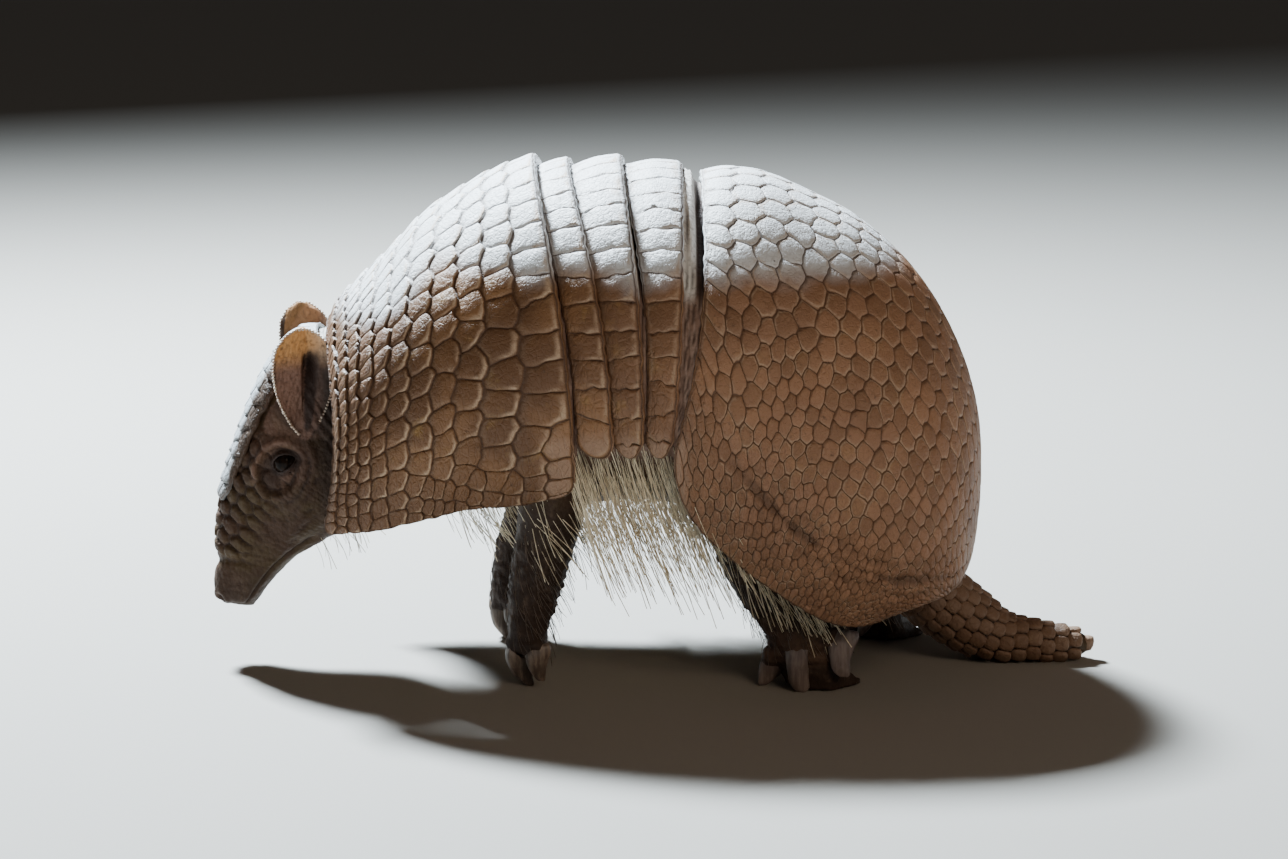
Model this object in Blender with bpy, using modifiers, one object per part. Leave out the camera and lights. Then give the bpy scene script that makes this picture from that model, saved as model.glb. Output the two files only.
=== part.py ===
"""A three-banded armadillo, life size, standing hunched with its snout near the floor.

Sizes below are in millimetres and MM turns them into Blender's metres. The head points
towards -X, the animal's left side faces -Y, +Z is up, and the origin lies on the floor
under the middle of the whole animal. Every piece of shell is an arch that runs over the
back from its left lower edge to its right one; flesh pieces are lofts between rings.
"""

import math

import bmesh
import bpy
import numpy as np
from mathutils import Vector

MM = 0.001
GAP = 0.3              # clear space between neighbouring pieces
MERGE = 0.00001        # metres; points closer than this are one
SMOOTH_ANGLE = 50      # degrees; steeper edges stay sharp
LEFT, RIGHT = -1, 1    # sides of the animal along Y

# --- shell ---------------------------------------------------------------------------
SHIELD_THICK = 2.2
BAND_THICK = 1.8
SCAPULAR_RINGS, BAND_RINGS, PELVIC_RINGS = 12, 3, 15
ARCH_STEPS = 24        # facets across an arch, from one lower edge to the other

# Arch: crest x, crest z, edge x, edge z, half width, wrap (degrees), bow of the middle.
SCAPULAR_ARCHES = (
    (-79.4, 86.2, -78.0, 39.4, 40.5, 110, 3.2),
    (-75.4, 92.0, -73.5, 40.2, 43.0, 111, 1.8),
    (-66.0, 101.0, -65.5, 41.4, 46.0, 112, 0.4),
    (-55.8, 111.6, -54.5, 44.2, 48.5, 113, 0.4),
    (-44.2, 119.2, -44.0, 47.0, 50.5, 114, 1.0),
    (-37.0, 122.8, -32.0, 48.2, 51.5, 115, 1.8),
    (-29.6, 125.4, -19.0, 50.6, 52.3, 115, 2.6),
)
FRONT_BAND_ARCHES = (
    (-28.8, 122.6, -17.6, 60.6, 50.4, 103, 2.6),
    (-25.0, 123.8, -14.0, 60.0, 51.2, 103, 2.7),
    (-21.2, 124.4, -10.2, 59.6, 51.9, 103, 2.7),
)
MIDDLE_BAND_ARCHES = (
    (-20.4, 122.7, -9.4, 60.4, 50.6, 103, 2.6),
    (-14.6, 124.5, -6.2, 60.0, 51.5, 103, 2.2),
    (-8.4, 125.1, -3.2, 60.0, 52.2, 103, 1.6),
)
REAR_BAND_ARCHES = (
    (-7.2, 123.0, -2.2, 60.4, 50.8, 103, 2.8),
    (-0.6, 124.0, 0.9, 60.0, 51.7, 103, 1.8),
    (6.2, 123.3, 3.4, 60.4, 52.3, 103, 0.9),
)
PELVIC_ARCHES = (
    (11.6, 121.6, 4.2, 59.0, 52.0, 103, 3.2),
    (17.5, 122.4, 6.4, 50.0, 52.4, 109, 2.4),
    (26.5, 121.2, 10.2, 43.2, 52.4, 113, 1.2),
    (37.0, 116.8, 15.5, 37.6, 52.2, 115, 0.4),
    (50.0, 109.8, 22.5, 31.6, 51.6, 115, 0.0),
    (63.3, 97.4, 31.0, 25.6, 50.6, 114, 0.0),
    (73.0, 81.8, 39.0, 20.6, 49.0, 113, 0.0),
    (78.6, 65.0, 45.5, 18.4, 46.6, 112, 0.0),
    (79.8, 47.7, 51.0, 18.2, 43.6, 112, 0.0),
    (78.4, 31.6, 56.0, 19.6, 40.0, 112, 0.0),
    (75.9, 25.2, 61.0, 22.0, 36.5, 112, 0.0),
)

# --- trunk, under the shell ------------------------------------------------------------
# The same arches sunk by TRUNK_INSET, closed below at a belly point: x, z.
TRUNK_INSET = 3.3
TRUNK_WRAP = 90        # degrees from the crest to where flank turns into belly
TRUNK_ARCHES = (
    ((-61.0, 105.2, -60.0, 43.2, 47.3, 112, 0.2), (-60.0, 42.5)),
    ((-44.2, 117.8, -44.0, 47.0, 50.5, 114, 1.0), (-43.0, 40.0)),
    ((-28.8, 122.4, -17.6, 50.6, 51.0, 115, 2.6), (-20.0, 40.5)),
    ((-7.2, 122.9, -2.2, 53.0, 51.2, 110, 2.6), (-2.0, 42.0)),
    ((11.6, 121.0, 4.2, 53.0, 51.8, 108, 3.0), (8.0, 40.0)),
    ((26.5, 121.0, 10.2, 43.2, 52.2, 113, 1.2), (17.0, 36.0)),
    ((50.0, 109.6, 22.5, 31.6, 51.4, 115, 0.0), (31.0, 29.0)),
    ((63.3, 97.2, 31.0, 25.6, 50.4, 114, 0.0), (41.0, 24.5)),
    ((73.0, 81.6, 39.0, 20.6, 48.8, 113, 0.0), (49.5, 20.0)),
    ((78.6, 65.0, 45.5, 18.4, 45.4, 112, 0.0), (56.5, 16.5)),
    ((79.8, 47.7, 51.0, 18.2, 39.0, 112, 0.0), (61.5, 14.2)),
)
TRUNK_RINGS = 20
TRUNK_FLANK_STEPS = 18
TRUNK_BELLY_STEPS = 10

# --- head --------------------------------------------------------------------------------
# Section: brow line x, z; throat line x, z; half width.
HEAD_SECTIONS = (
    (-106.6, 15.4, -99.0, 14.2, 3.6),
    (-108.0, 17.4, -97.3, 16.2, 5.4),
    (-108.2, 22.0, -94.6, 19.8, 6.0),
    (-107.4, 30.0, -90.4, 24.4, 7.2),
    (-106.6, 38.0, -85.4, 28.2, 9.0),
    (-104.6, 46.0, -80.0, 31.4, 11.6),
    (-101.7, 54.6, -75.5, 34.0, 14.0),
    (-98.0, 64.4, -72.0, 38.0, 15.2),
    (-93.4, 73.8, -69.5, 43.0, 15.2),
    (-87.4, 81.2, -67.6, 50.0, 14.6),
    (-80.8, 82.8, -66.0, 58.0, 13.8),
)
HEAD_RINGS = 15
HEAD_STEPS = 18        # points round one section
HEAD_SQUARENESS = 0.86  # 1 is an ellipse, less is squarer

NECK_RINGS = (0.4, 0.7, 1.0)   # places from head to trunk
NECK_SHARE = 0.84      # size of the neck's rear end against the trunk's front end
NECK_DROP = 4.5        # rear end's centre under the middle of the trunk's front
NECK_FLARE = 1.6       # over 1 keeps the neck slim for longer

HEAD_SHIELD_FIRST, HEAD_SHIELD_LAST = 4.55, 9.75   # along the sections
HEAD_SHIELD_WRAP = (35, 47)  # degrees either side of the brow line, at the first and last
HEAD_SHIELD_THICK = 1.2
HEAD_SHIELD_LIFT = 0.45        # its underside over the skin
HEAD_SHIELD_STEPS = 9  # points along it and across it

EYE_RADIUS = 3.2
EYE_SECTION, EYE_ANGLE = 6.66, 77.0
EYE_SINK = 2.3         # eye centre under the skin

EAR_SECTION, EAR_ANGLE = 7.75, 84.0
EAR_LENGTH = {LEFT: 27.4, RIGHT: 28.4}
EAR_THICK = 1.3
EAR_CUP = 3.6          # depth of the hollow at the root
EAR_CUP_LOSS = 0.45    # share of that depth lost by the tip
EAR_ROWS, EAR_COLUMNS = 8, 7
EAR_RISE, EAR_SPLAY = 0.97, 0.20  # root to tip, upward and outward
EAR_BACK = {LEFT: 0.01, RIGHT: -0.12}
EAR_ACROSS = (0.96, 0.26, 0.0)    # front rim to back rim; Y is inward here
# Share of the length from root to tip, half width there.
EAR_OUTLINE = ((0.0, 1.8), (0.2, 3.9), (0.42, 6.3), (0.66, 7.4), (0.84, 6.2), (0.95, 3.9), (1.0, 1.6))

# --- limbs and tail ------------------------------------------------------------------------
# Ring of a limb: centre x, y outward, z, half length along X, half width along Y.
FORELEG_RINGS = (
    (-23.6, 27.5, 56.0, 9.6, 9.6),
    (-24.2, 27.2, 44.0, 8.4, 8.4),
    (-26.8, 26.0, 32.0, 7.0, 7.0),
    (-28.6, 25.2, 24.0, 6.4, 6.2),
    (-29.8, 24.8, 17.6, 5.4, 5.4),
)
FOREFOOT_RINGS = (
    (-29.9, 24.7, 17.3, 5.3, 5.3),
    (-30.2, 24.6, 13.0, 5.2, 6.0),
    (-30.2, 24.6, 9.4, 4.6, 6.2),
    (-30.0, 24.6, 7.6, 3.0, 4.6),
)
FORE_STRIDE = {LEFT: 0.0, RIGHT: -6.2}
LEG_RINGS = 7
# Claw: root x, y outward, z; tip x, y outward, z; root half length along X, half width along Y.
FORE_CLAWS = {
    "inner": (-28.6, 18.6, 10.4, -29.8, 18.9, 3.2, 2.0, 1.3),
    "second": (-31.6, 21.9, 10.8, -30.6, 21.9, 0.0, 2.9, 1.6),
    "third": (-32.0, 26.3, 12.0, -29.8, 26.3, 0.0, 3.3, 2.2),
    "outer": (-27.0, 30.6, 11.2, -27.4, 30.2, 2.0, 2.7, 1.7),
}

HINDLEG_RINGS = (
    (27.0, 26.0, 50.0, 14.0, 11.0),
    (26.5, 26.6, 37.0, 13.4, 10.0),
    (29.0, 26.4, 25.0, 11.0, 8.6),
    (34.0, 26.0, 15.0, 9.2, 7.2),
)
HINDFOOT_RINGS = (
    (34.4, 26.0, 14.7, 9.0, 7.0),
    (38.0, 26.0, 9.6, 10.2, 7.6),
    (41.4, 26.0, 4.6, 11.4, 8.0),
    (42.0, 26.0, 0.9, 10.8, 7.4),
    (42.0, 26.0, 0.0, 10.0, 6.6),
)
HIND_STRIDE = {LEFT: 0.0, RIGHT: 19.0}
HIND_CLAWS = {
    "inner": (36.6, 17.6, 7.2, 33.0, 16.4, 2.0, 2.0, 1.6),
    "second": (33.0, 21.2, 7.0, 27.4, 20.8, 0.0, 3.0, 1.9),
    "third": (32.2, 26.0, 8.0, 26.0, 26.2, 0.0, 3.4, 2.2),
    "fourth": (37.6, 31.2, 13.6, 35.0, 32.8, 0.0, 4.0, 2.5),
    "outer": (46.2, 33.0, 15.0, 44.6, 35.2, 4.4, 3.1, 2.0),
}

# Ring of the tail: centre x, z, half height, half width; the rings stand across the tail.
TAIL_RINGS = (
    (64.5, 21.0, 8.8, 10.6),
    (71.4, 14.6, 8.3, 9.6),
    (78.6, 9.4, 7.6, 8.2),
    (85.0, 6.0, 6.1, 7.0),
    (92.0, 4.9, 5.1, 6.0),
    (99.0, 4.3, 4.3, 5.0),
    (104.2, 4.0, 3.3, 3.8),
    (107.3, 4.2, 1.5, 1.7),
    (108.25, 4.3, 0.5, 0.6),
)
TAIL_RING_COUNT = 15
TAIL_STEPS = 14
FOOT_HEIGHT, HIP_HEIGHT = 15.0, 50.0   # the stride is full below one, none above the other
LIMB_STEPS = 12
CLAW_STEPS = 8
CLAW_BULGE = 0.14      # how far a claw bows forwards, as a share of its length
CLAW_TAPER = ((0, 1.0), (0.35, 0.98), (0.7, 0.74), (0.92, 0.42), (1.0, 0.24))  # place, thickness

SHELL_COLOUR = (0.42, 0.33, 0.25)
SKIN_COLOUR = (0.17, 0.11, 0.085)
EAR_COLOUR = (0.33, 0.19, 0.13)
CLAW_COLOUR = (0.10, 0.075, 0.06)
HOOF_COLOUR = (0.36, 0.27, 0.23)
EYE_COLOUR = (0.012, 0.010, 0.010)
SHELL_ROUGHNESS, SKIN_ROUGHNESS, EAR_ROUGHNESS = 0.55, 0.7, 0.6
NAIL_ROUGHNESS, EYE_ROUGHNESS = 0.4, 0.08


# --- small tools -----------------------------------------------------------------------------
def through(rows, places):
    """Rows of numbers read off a Catmull-Rom curve through `rows`, at places counted in rows."""
    rows = np.asarray(rows, float)
    padded = np.vstack((2 * rows[0] - rows[1], rows, 2 * rows[-1] - rows[-2]))
    found = []
    for place in places:
        first = min(int(place), len(rows) - 2)
        t = place - first
        before, start, end, after = padded[first:first + 4]
        found.append(0.5 * (2 * start + (end - before) * t
                            + (2 * before - 5 * start + 4 * end - after) * t * t
                            + (3 * start - before - 3 * end + after) * t ** 3))
    return np.array(found)


def spread(rows, count):
    """`count` rows spaced evenly along the curve through `rows`."""
    return through(rows, np.linspace(0, len(rows) - 1, count))


def material(name, colour, roughness):
    made = bpy.data.materials.new(name)
    made.use_nodes = True
    shader = made.node_tree.nodes["Principled BSDF"]
    shader.inputs["Base Color"].default_value = (*colour, 1.0)
    shader.inputs["Roughness"].default_value = roughness
    shader.inputs["Metallic"].default_value = 0.0
    made.diffuse_color = (*colour, 1.0)
    return made


def finish_object(name, mesh, collection, surface):
    made = bpy.data.objects.new(name, mesh)
    collection.objects.link(made)
    mesh.materials.append(surface)
    mesh.shade_smooth()
    mesh.set_sharp_from_angle(angle=math.radians(SMOOTH_ANGLE))
    return made


def mesh_of(name, build):
    """A mesh filled by build(bmesh), with doubles merged and its normals made consistent."""
    work = bmesh.new()
    build(work)
    bmesh.ops.remove_doubles(work, verts=work.verts, dist=MERGE)
    bmesh.ops.recalc_face_normals(work, faces=work.faces)
    mesh = bpy.data.meshes.new(name)
    work.to_mesh(mesh)
    work.free()
    return mesh


def loft(name, rings, collection, surface):
    """A closed solid through closed rings of equal count, with a flat cap on each end."""
    def build(work):
        rows = [[work.verts.new(Vector(point) * MM) for point in ring] for ring in rings]
        for row, following in zip(rows, rows[1:]):
            for i in range(len(row)):
                j = (i + 1) % len(row)
                work.faces.new((row[i], row[j], following[j], following[i]))
        work.faces.new(rows[0][::-1])
        work.faces.new(rows[-1])
    return finish_object(name, mesh_of(name, build), collection, surface)


def plate(name, grid, thickness, collection, surface):
    """An open grid of outer surface points, thickened inwards by Solidify."""
    def build(work):
        rows = [[work.verts.new(Vector(point) * MM) for point in row] for row in grid]
        for row, following in zip(rows, rows[1:]):
            for i in range(len(row) - 1):
                work.faces.new((row[i], row[i + 1], following[i + 1], following[i]))
    mesh = mesh_of(name, build)
    face_outwards(mesh)
    made = finish_object(name, mesh, collection, surface)
    wall = made.modifiers.new("wall", "SOLIDIFY")
    wall.thickness = thickness * MM
    wall.offset = -1.0
    wall.use_even_offset = True
    wall.use_quality_normals = True
    return made


def face_outwards(mesh):
    """Turns an open mesh so that its faces look away from the middle of its bounding box."""
    points = np.array([v.co[:] for v in mesh.vertices])
    middle = Vector((points.min(0) + points.max(0)) / 2)
    outward = sum((f.center - middle).dot(f.normal) * f.area for f in mesh.polygons)
    if outward < 0:
        mesh.flip_normals()


def ellipse_ring(centre, along, across, steps, squareness=1.0):
    """Points round an ellipse with the half axes `along` and `across`, given as vectors."""
    def shaped(value):
        return math.copysign(abs(value) ** squareness, value)
    centre, along, across = Vector(centre), Vector(along), Vector(across)
    turns = (2 * math.pi * i / steps for i in range(steps))
    return [centre + along * shaped(math.cos(turn)) + across * shaped(math.sin(turn)) for turn in turns]


def grown_copy(source, clearance, cutters):
    """A hidden cutter: the evaluated mesh of `source`, pushed out by `clearance`."""
    bpy.context.view_layer.update()
    mesh = bpy.data.meshes.new_from_object(source.evaluated_get(bpy.context.evaluated_depsgraph_get()))
    work = bmesh.new()
    work.from_mesh(mesh)
    work.normal_update()
    pushed = [vert.co + vert.normal * vert.calc_shell_factor() * clearance * MM for vert in work.verts]
    for vert, place in zip(work.verts, pushed):
        vert.co = place
    work.to_mesh(mesh)
    work.free()
    made = bpy.data.objects.new("cut_" + source.name, mesh)
    cutters.objects.link(made)
    made.hide_render = True
    made.display_type = "WIRE"
    return made


def cut(target, cutter):
    """Takes the cutter's shape away from the target."""
    step = target.modifiers.new("clear_of_" + cutter.name[4:], "BOOLEAN")
    step.operation = "DIFFERENCE"
    step.solver = "EXACT"
    step.object = cutter


# --- shell ---------------------------------------------------------------------------------------
def arch(row, turns):
    """Points over one arch at the angles `turns`, in degrees from the crest, left side negative."""
    crest_x, crest_z, edge_x, edge_z, half_width, wrap, bow = row
    full = 1 - math.cos(math.radians(wrap))
    points = []
    for turn in np.radians(turns):
        down = (1 - math.cos(turn)) / full
        x = crest_x + (edge_x - crest_x) * down + bow * math.sin(math.pi * min(down, 1.0))
        z = crest_z + (edge_z - crest_z) * down
        points.append((x, half_width * math.sin(turn), z))
    return points


def shell_grid(rows, count):
    """Arches at `count` places along the shell, each from its left lower edge to its right one."""
    grid = []
    for row in spread(rows, count):
        grid.append(arch(row, np.linspace(-row[5], row[5], ARCH_STEPS + 1)))
    return grid


def make_shell(parts, surface):
    plate("scapular_shield", shell_grid(SCAPULAR_ARCHES, SCAPULAR_RINGS), SHIELD_THICK, parts, surface)
    plate("band_front", shell_grid(FRONT_BAND_ARCHES, BAND_RINGS), BAND_THICK, parts, surface)
    plate("band_middle", shell_grid(MIDDLE_BAND_ARCHES, BAND_RINGS), BAND_THICK, parts, surface)
    plate("band_rear", shell_grid(REAR_BAND_ARCHES, BAND_RINGS), BAND_THICK, parts, surface)
    plate("pelvic_shield", shell_grid(PELVIC_ARCHES, PELVIC_RINGS), SHIELD_THICK, parts, surface)


# --- trunk ---------------------------------------------------------------------------------------
def trunk_rings():
    """Closed rings: the arch of the back sunk under the shell, then the belly's curve."""
    rows = spread([(*row, *belly) for row, belly in TRUNK_ARCHES], TRUNK_RINGS)
    turns = np.linspace(-TRUNK_WRAP, TRUNK_WRAP, TRUNK_FLANK_STEPS + 1)
    backs = np.array([arch(row[:7], turns) for row in rows])
    along = np.gradient(backs, axis=0)
    across = np.gradient(backs, axis=1)
    outward = np.cross(along, across)
    outward /= np.linalg.norm(outward, axis=2, keepdims=True)
    middle = TRUNK_FLANK_STEPS // 2
    outward *= np.sign(outward[len(rows) // 2, middle, 2])
    backs = backs - outward * TRUNK_INSET
    rings = []
    for row, back in zip(rows, backs):
        right = back[-1]
        belly_x, belly_z = row[7:]
        ring = [tuple(point) for point in back]
        for i in range(1, TRUNK_BELLY_STEPS):
            turn = math.pi * i / TRUNK_BELLY_STEPS
            sag = math.sin(turn)
            ring.append((right[0] + (belly_x - right[0]) * sag, right[1] * math.cos(turn),
                         right[2] + (belly_z - right[2]) * sag))
        rings.append(ring)
    return rings


# --- head ----------------------------------------------------------------------------------------
def head_frame(place):
    """Centre, half axis towards the brow and half width of the head at a place along it."""
    brow_x, brow_z, throat_x, throat_z, half_width = through(HEAD_SECTIONS, [place])[0]
    brow, throat = Vector((brow_x, 0, brow_z)), Vector((throat_x, 0, throat_z))
    return (brow + throat) / 2, (brow - throat) / 2, half_width


def head_point(place, degrees):
    """A point on the head's skin, `degrees` round from the brow line, left side negative."""
    centre, up, half_width = head_frame(place)
    c, s = math.cos(math.radians(degrees)), math.sin(math.radians(degrees))
    rise = math.copysign(abs(c) ** HEAD_SQUARENESS, c)
    side = math.copysign(abs(s) ** HEAD_SQUARENESS, s)
    return centre + up * rise + Vector((0, half_width * side, 0))


def head_normal(place, degrees):
    """The direction straight out of the head's skin at a place and angle."""
    step = 0.05
    along = head_point(place + step, degrees) - head_point(place - step, degrees)
    round_it = head_point(place, degrees + 3) - head_point(place, degrees - 3)
    normal = along.cross(round_it).normalized()
    outward = head_point(place, degrees) - head_frame(place)[0]
    return normal if normal.dot(outward) > 0 else -normal


def head_ring(place):
    centre, up, half_width = head_frame(place)
    return ellipse_ring(centre, up, (0, half_width, 0), HEAD_STEPS, HEAD_SQUARENESS)


def make_head(parts, cutters, skin, shell, eye_surface, ear_surface):
    places = np.linspace(0, len(HEAD_SECTIONS) - 1, HEAD_RINGS)
    head = loft("head", [head_ring(place) for place in places], parts, skin)
    plain_head = grown_copy(head, GAP, cutters)
    for side, word in ((LEFT, "left"), (RIGHT, "right")):
        cut(head, grown_copy(make_eye("eye_" + word, side, parts, eye_surface), GAP, cutters))
        cut(make_ear("ear_" + word, side, parts, ear_surface), plain_head)
    make_head_shield(parts, shell)


def make_eye(name, side, parts, surface):
    turn = side * EYE_ANGLE
    centre = head_point(EYE_SECTION, turn) - head_normal(EYE_SECTION, turn) * EYE_SINK
    def build(work):
        bmesh.ops.create_icosphere(work, subdivisions=2, radius=EYE_RADIUS * MM)
        bmesh.ops.translate(work, verts=work.verts, vec=centre * MM)
    return finish_object(name, mesh_of(name, build), parts, surface)


def make_ear(name, side, parts, surface):
    """A leaf-shaped cup that opens outwards and forwards, rooted on the side of the skull."""
    root = head_point(EAR_SECTION, side * EAR_ANGLE)
    lean = Vector((EAR_BACK[side], side * EAR_SPLAY, EAR_RISE)).normalized()
    across = Vector((EAR_ACROSS[0], -side * EAR_ACROSS[1], EAR_ACROSS[2])).normalized()
    inward = across.cross(lean) * side
    grid = []
    for share, half_width in spread(EAR_OUTLINE, EAR_ROWS):
        cup = EAR_CUP * (1.0 - EAR_CUP_LOSS * share)
        row = []
        for offset in np.linspace(-1, 1, EAR_COLUMNS):
            hollow = cup * (1 - offset ** 2)
            across_it = across * half_width * offset + inward * hollow
            row.append(root + lean * EAR_LENGTH[side] * share + across_it)
        grid.append(row)
    return plate(name, grid, EAR_THICK, parts, surface)


def make_head_shield(parts, surface):
    grid = []
    lift = HEAD_SHIELD_LIFT + HEAD_SHIELD_THICK
    for share in np.linspace(0, 1, HEAD_SHIELD_STEPS):
        place = HEAD_SHIELD_FIRST + (HEAD_SHIELD_LAST - HEAD_SHIELD_FIRST) * share
        wrap = HEAD_SHIELD_WRAP[0] + (HEAD_SHIELD_WRAP[1] - HEAD_SHIELD_WRAP[0]) * share
        row = []
        for turn in np.linspace(-wrap, wrap, HEAD_SHIELD_STEPS):
            row.append(head_point(place, turn) + head_normal(place, turn) * lift)
        grid.append(row)
    plate("head_shield", grid, HEAD_SHIELD_THICK, parts, surface)


def make_neck(parts, skin, trunk_front):
    """From the back of the head to the front of the trunk, a gap clear of both."""
    last = len(HEAD_SECTIONS) - 1
    head_end = [Vector(point) for point in head_ring(last)]
    up = (head_end[0] - head_end[HEAD_STEPS // 2]).normalized()
    back = Vector((0, 1, 0)).cross(up)
    back = back if back.x > 0 else -back
    middle = sum(trunk_front, Vector()) / len(trunk_front)
    height = max(p.z for p in trunk_front) - min(p.z for p in trunk_front)
    width = max(p.y for p in trunk_front)
    start = [point + back * GAP for point in head_end]
    rings = [start]
    end_x = min(p.x for p in trunk_front) - GAP
    end = ellipse_ring((end_x, 0, middle.z - NECK_DROP), (0, 0, NECK_SHARE * height / 2),
                       (0, NECK_SHARE * width, 0), HEAD_STEPS)
    for share in NECK_RINGS:
        rings.append([a.lerp(b, share ** NECK_FLARE) for a, b in zip(start, end)])
    return loft("neck", rings, parts, skin)


# --- limbs and tail ------------------------------------------------------------------------------
def limb_rings(rows, count, side, stride):
    """Rings of one leg or foot, shifted by its stride: in full at the floor, not at all at the hip."""
    rings = []
    for x, y, z, half_x, half_y in spread(rows, count):
        shift = stride * (1 - max(z - FOOT_HEIGHT, 0) / HIP_HEIGHT)
        rings.append(ellipse_ring((x + shift, side * y, z), (half_x, 0, 0), (0, half_y, 0), LIMB_STEPS))
    return rings


def make_claw(name, sizes, side, stride, parts, surface):
    """A blunt curved nail from its root to its tip; one that stands has a small flat."""
    x, y, z, tip_x, tip_y, tip_z, half_x, half_y = sizes
    root, tip = Vector((x + stride, side * y, z)), Vector((tip_x + stride, side * tip_y, tip_z))
    lean = (tip - root).normalized()
    across = Vector((0, 1, 0))
    broad = lean.cross(across).normalized()
    across = broad.cross(lean)
    bulge = broad * (-CLAW_BULGE * (tip - root).length)
    if bulge.x > 0:
        bulge = -bulge
    rings = []
    for share, taper in CLAW_TAPER:
        centre = root.lerp(tip, share) + bulge * math.sin(math.pi * share)
        ring = ellipse_ring(centre, broad * half_x * taper, across * half_y * taper, CLAW_STEPS)
        rings.append([Vector((p.x, p.y, max(p.z, 0.0))) for p in ring])
    rings[-1] = [Vector((p.x, p.y, tip_z)) for p in rings[-1]]
    return loft(name, rings, parts, surface)


def make_limb(kind, foot_kind, side, word, leg_rows, foot_rows, claws, stride, parts, finishes):
    leg = loft(f"{kind}_{word}", limb_rings(leg_rows, LEG_RINGS, side, stride), parts, finishes["skin"])
    foot_rings = limb_rings(foot_rows, len(foot_rows), side, stride)
    foot = loft(f"{foot_kind}_{word}", foot_rings, parts, finishes["skin"])
    nails = []
    for digit, sizes in claws.items():
        name = f"claw_{foot_kind}_{word}_{digit}"
        nails.append(make_claw(name, sizes, side, stride, parts, finishes["nail"]))
    return leg, foot, nails


def make_limbs(parts, cutters, trunk_cutter, skin, claw, hoof):
    for side, word in ((LEFT, "left"), (RIGHT, "right")):
        leg, foot, nails = make_limb("foreleg", "forefoot", side, word, FORELEG_RINGS, FOREFOOT_RINGS,
                                     FORE_CLAWS, FORE_STRIDE[side], parts, {"skin": skin, "nail": claw})
        cut(leg, trunk_cutter)
        clear_nails(foot, nails, cutters)
        leg, foot, nails = make_limb("hindleg", "hindfoot", side, word, HINDLEG_RINGS, HINDFOOT_RINGS,
                                     HIND_CLAWS, HIND_STRIDE[side], parts, {"skin": skin, "nail": hoof})
        cut(leg, trunk_cutter)
        clear_nails(foot, nails, cutters)


def clear_nails(foot, nails, cutters):
    """Trims the nails' roots a gap clear of the foot."""
    cutter = grown_copy(foot, GAP, cutters)
    for nail in nails:
        cut(nail, cutter)


def tail_rings():
    rows = spread(TAIL_RINGS, TAIL_RING_COUNT)
    rings = []
    for i, (x, z, half_height, half_width) in enumerate(rows):
        before, after = rows[max(i - 1, 0)], rows[min(i + 1, len(rows) - 1)]
        along = Vector((after[0] - before[0], 0, after[1] - before[1])).normalized()
        up = Vector((-along.z, 0, along.x))
        ring = ellipse_ring((x, 0, z), up * half_height, (0, half_width, 0), TAIL_STEPS)
        rings.append([Vector((p.x, p.y, max(p.z, 0.0))) for p in ring])
    return rings


def main():
    for old in list(bpy.data.objects):
        bpy.data.objects.remove(old, do_unlink=True)
    scene = bpy.context.scene.collection
    parts = bpy.data.collections.new("armadillo")
    cutters = bpy.data.collections.new("cutters")
    scene.children.link(parts)
    scene.children.link(cutters)

    shell = material("shell", SHELL_COLOUR, SHELL_ROUGHNESS)
    skin = material("skin", SKIN_COLOUR, SKIN_ROUGHNESS)
    ear = material("ear", EAR_COLOUR, EAR_ROUGHNESS)
    claw = material("claw", CLAW_COLOUR, NAIL_ROUGHNESS)
    hoof = material("hoof", HOOF_COLOUR, NAIL_ROUGHNESS)
    eye = material("eye", EYE_COLOUR, EYE_ROUGHNESS)

    make_shell(parts, shell)
    rings = trunk_rings()
    trunk = loft("trunk", rings, parts, skin)
    trunk_cutter = grown_copy(trunk, GAP, cutters)
    make_head(parts, cutters, skin, shell, eye, ear)
    make_neck(parts, skin, [Vector(point) for point in rings[0]])
    make_limbs(parts, cutters, trunk_cutter, skin, claw, hoof)
    cut(loft("tail", tail_rings(), parts, skin), trunk_cutter)


main()
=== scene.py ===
"""Looks of a life-size three-banded armadillo model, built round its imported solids.

Shapes are worked out in millimetres and turned into metres when a mesh is made. The head
points towards -X, the animal's left side faces -Y and the floor is at Z = 0.
"""

import logging
import math
from dataclasses import dataclass, field
from enum import Enum
from typing import Callable, ClassVar

import bmesh
import bpy
import numpy as np
from mathutils import Matrix, Vector
from mathutils.geometry import delaunay_2d_cdt


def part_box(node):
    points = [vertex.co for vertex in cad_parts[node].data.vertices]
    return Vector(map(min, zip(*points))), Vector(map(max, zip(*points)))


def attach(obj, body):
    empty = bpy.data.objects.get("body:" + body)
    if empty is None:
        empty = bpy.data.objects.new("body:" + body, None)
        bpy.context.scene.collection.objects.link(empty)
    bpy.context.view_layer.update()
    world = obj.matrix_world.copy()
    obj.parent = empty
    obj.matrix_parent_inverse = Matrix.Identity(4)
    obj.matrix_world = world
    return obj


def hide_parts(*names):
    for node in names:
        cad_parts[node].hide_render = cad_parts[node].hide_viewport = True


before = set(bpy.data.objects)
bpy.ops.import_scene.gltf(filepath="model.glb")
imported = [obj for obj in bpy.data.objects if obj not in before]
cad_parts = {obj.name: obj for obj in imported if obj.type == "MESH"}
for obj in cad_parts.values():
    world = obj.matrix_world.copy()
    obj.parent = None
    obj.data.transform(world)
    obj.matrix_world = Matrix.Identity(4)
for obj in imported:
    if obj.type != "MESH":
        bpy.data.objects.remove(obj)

Array = np.ndarray
Mesh, Piece, Material = bpy.types.Mesh, bpy.types.Object, bpy.types.Material
Made = list[tuple[Piece, list[str]]]
LOG = logging.getLogger("armadillo")
MM = 0.001
BODY = "root"
Row = tuple[float, ...]
Rows = tuple[Row, ...]
Triple = tuple[float, float, float]
Outline = list[tuple[float, float]]
Field = Callable[[Array], Array]
Surface = Callable[[Array, Array], Array]

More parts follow.
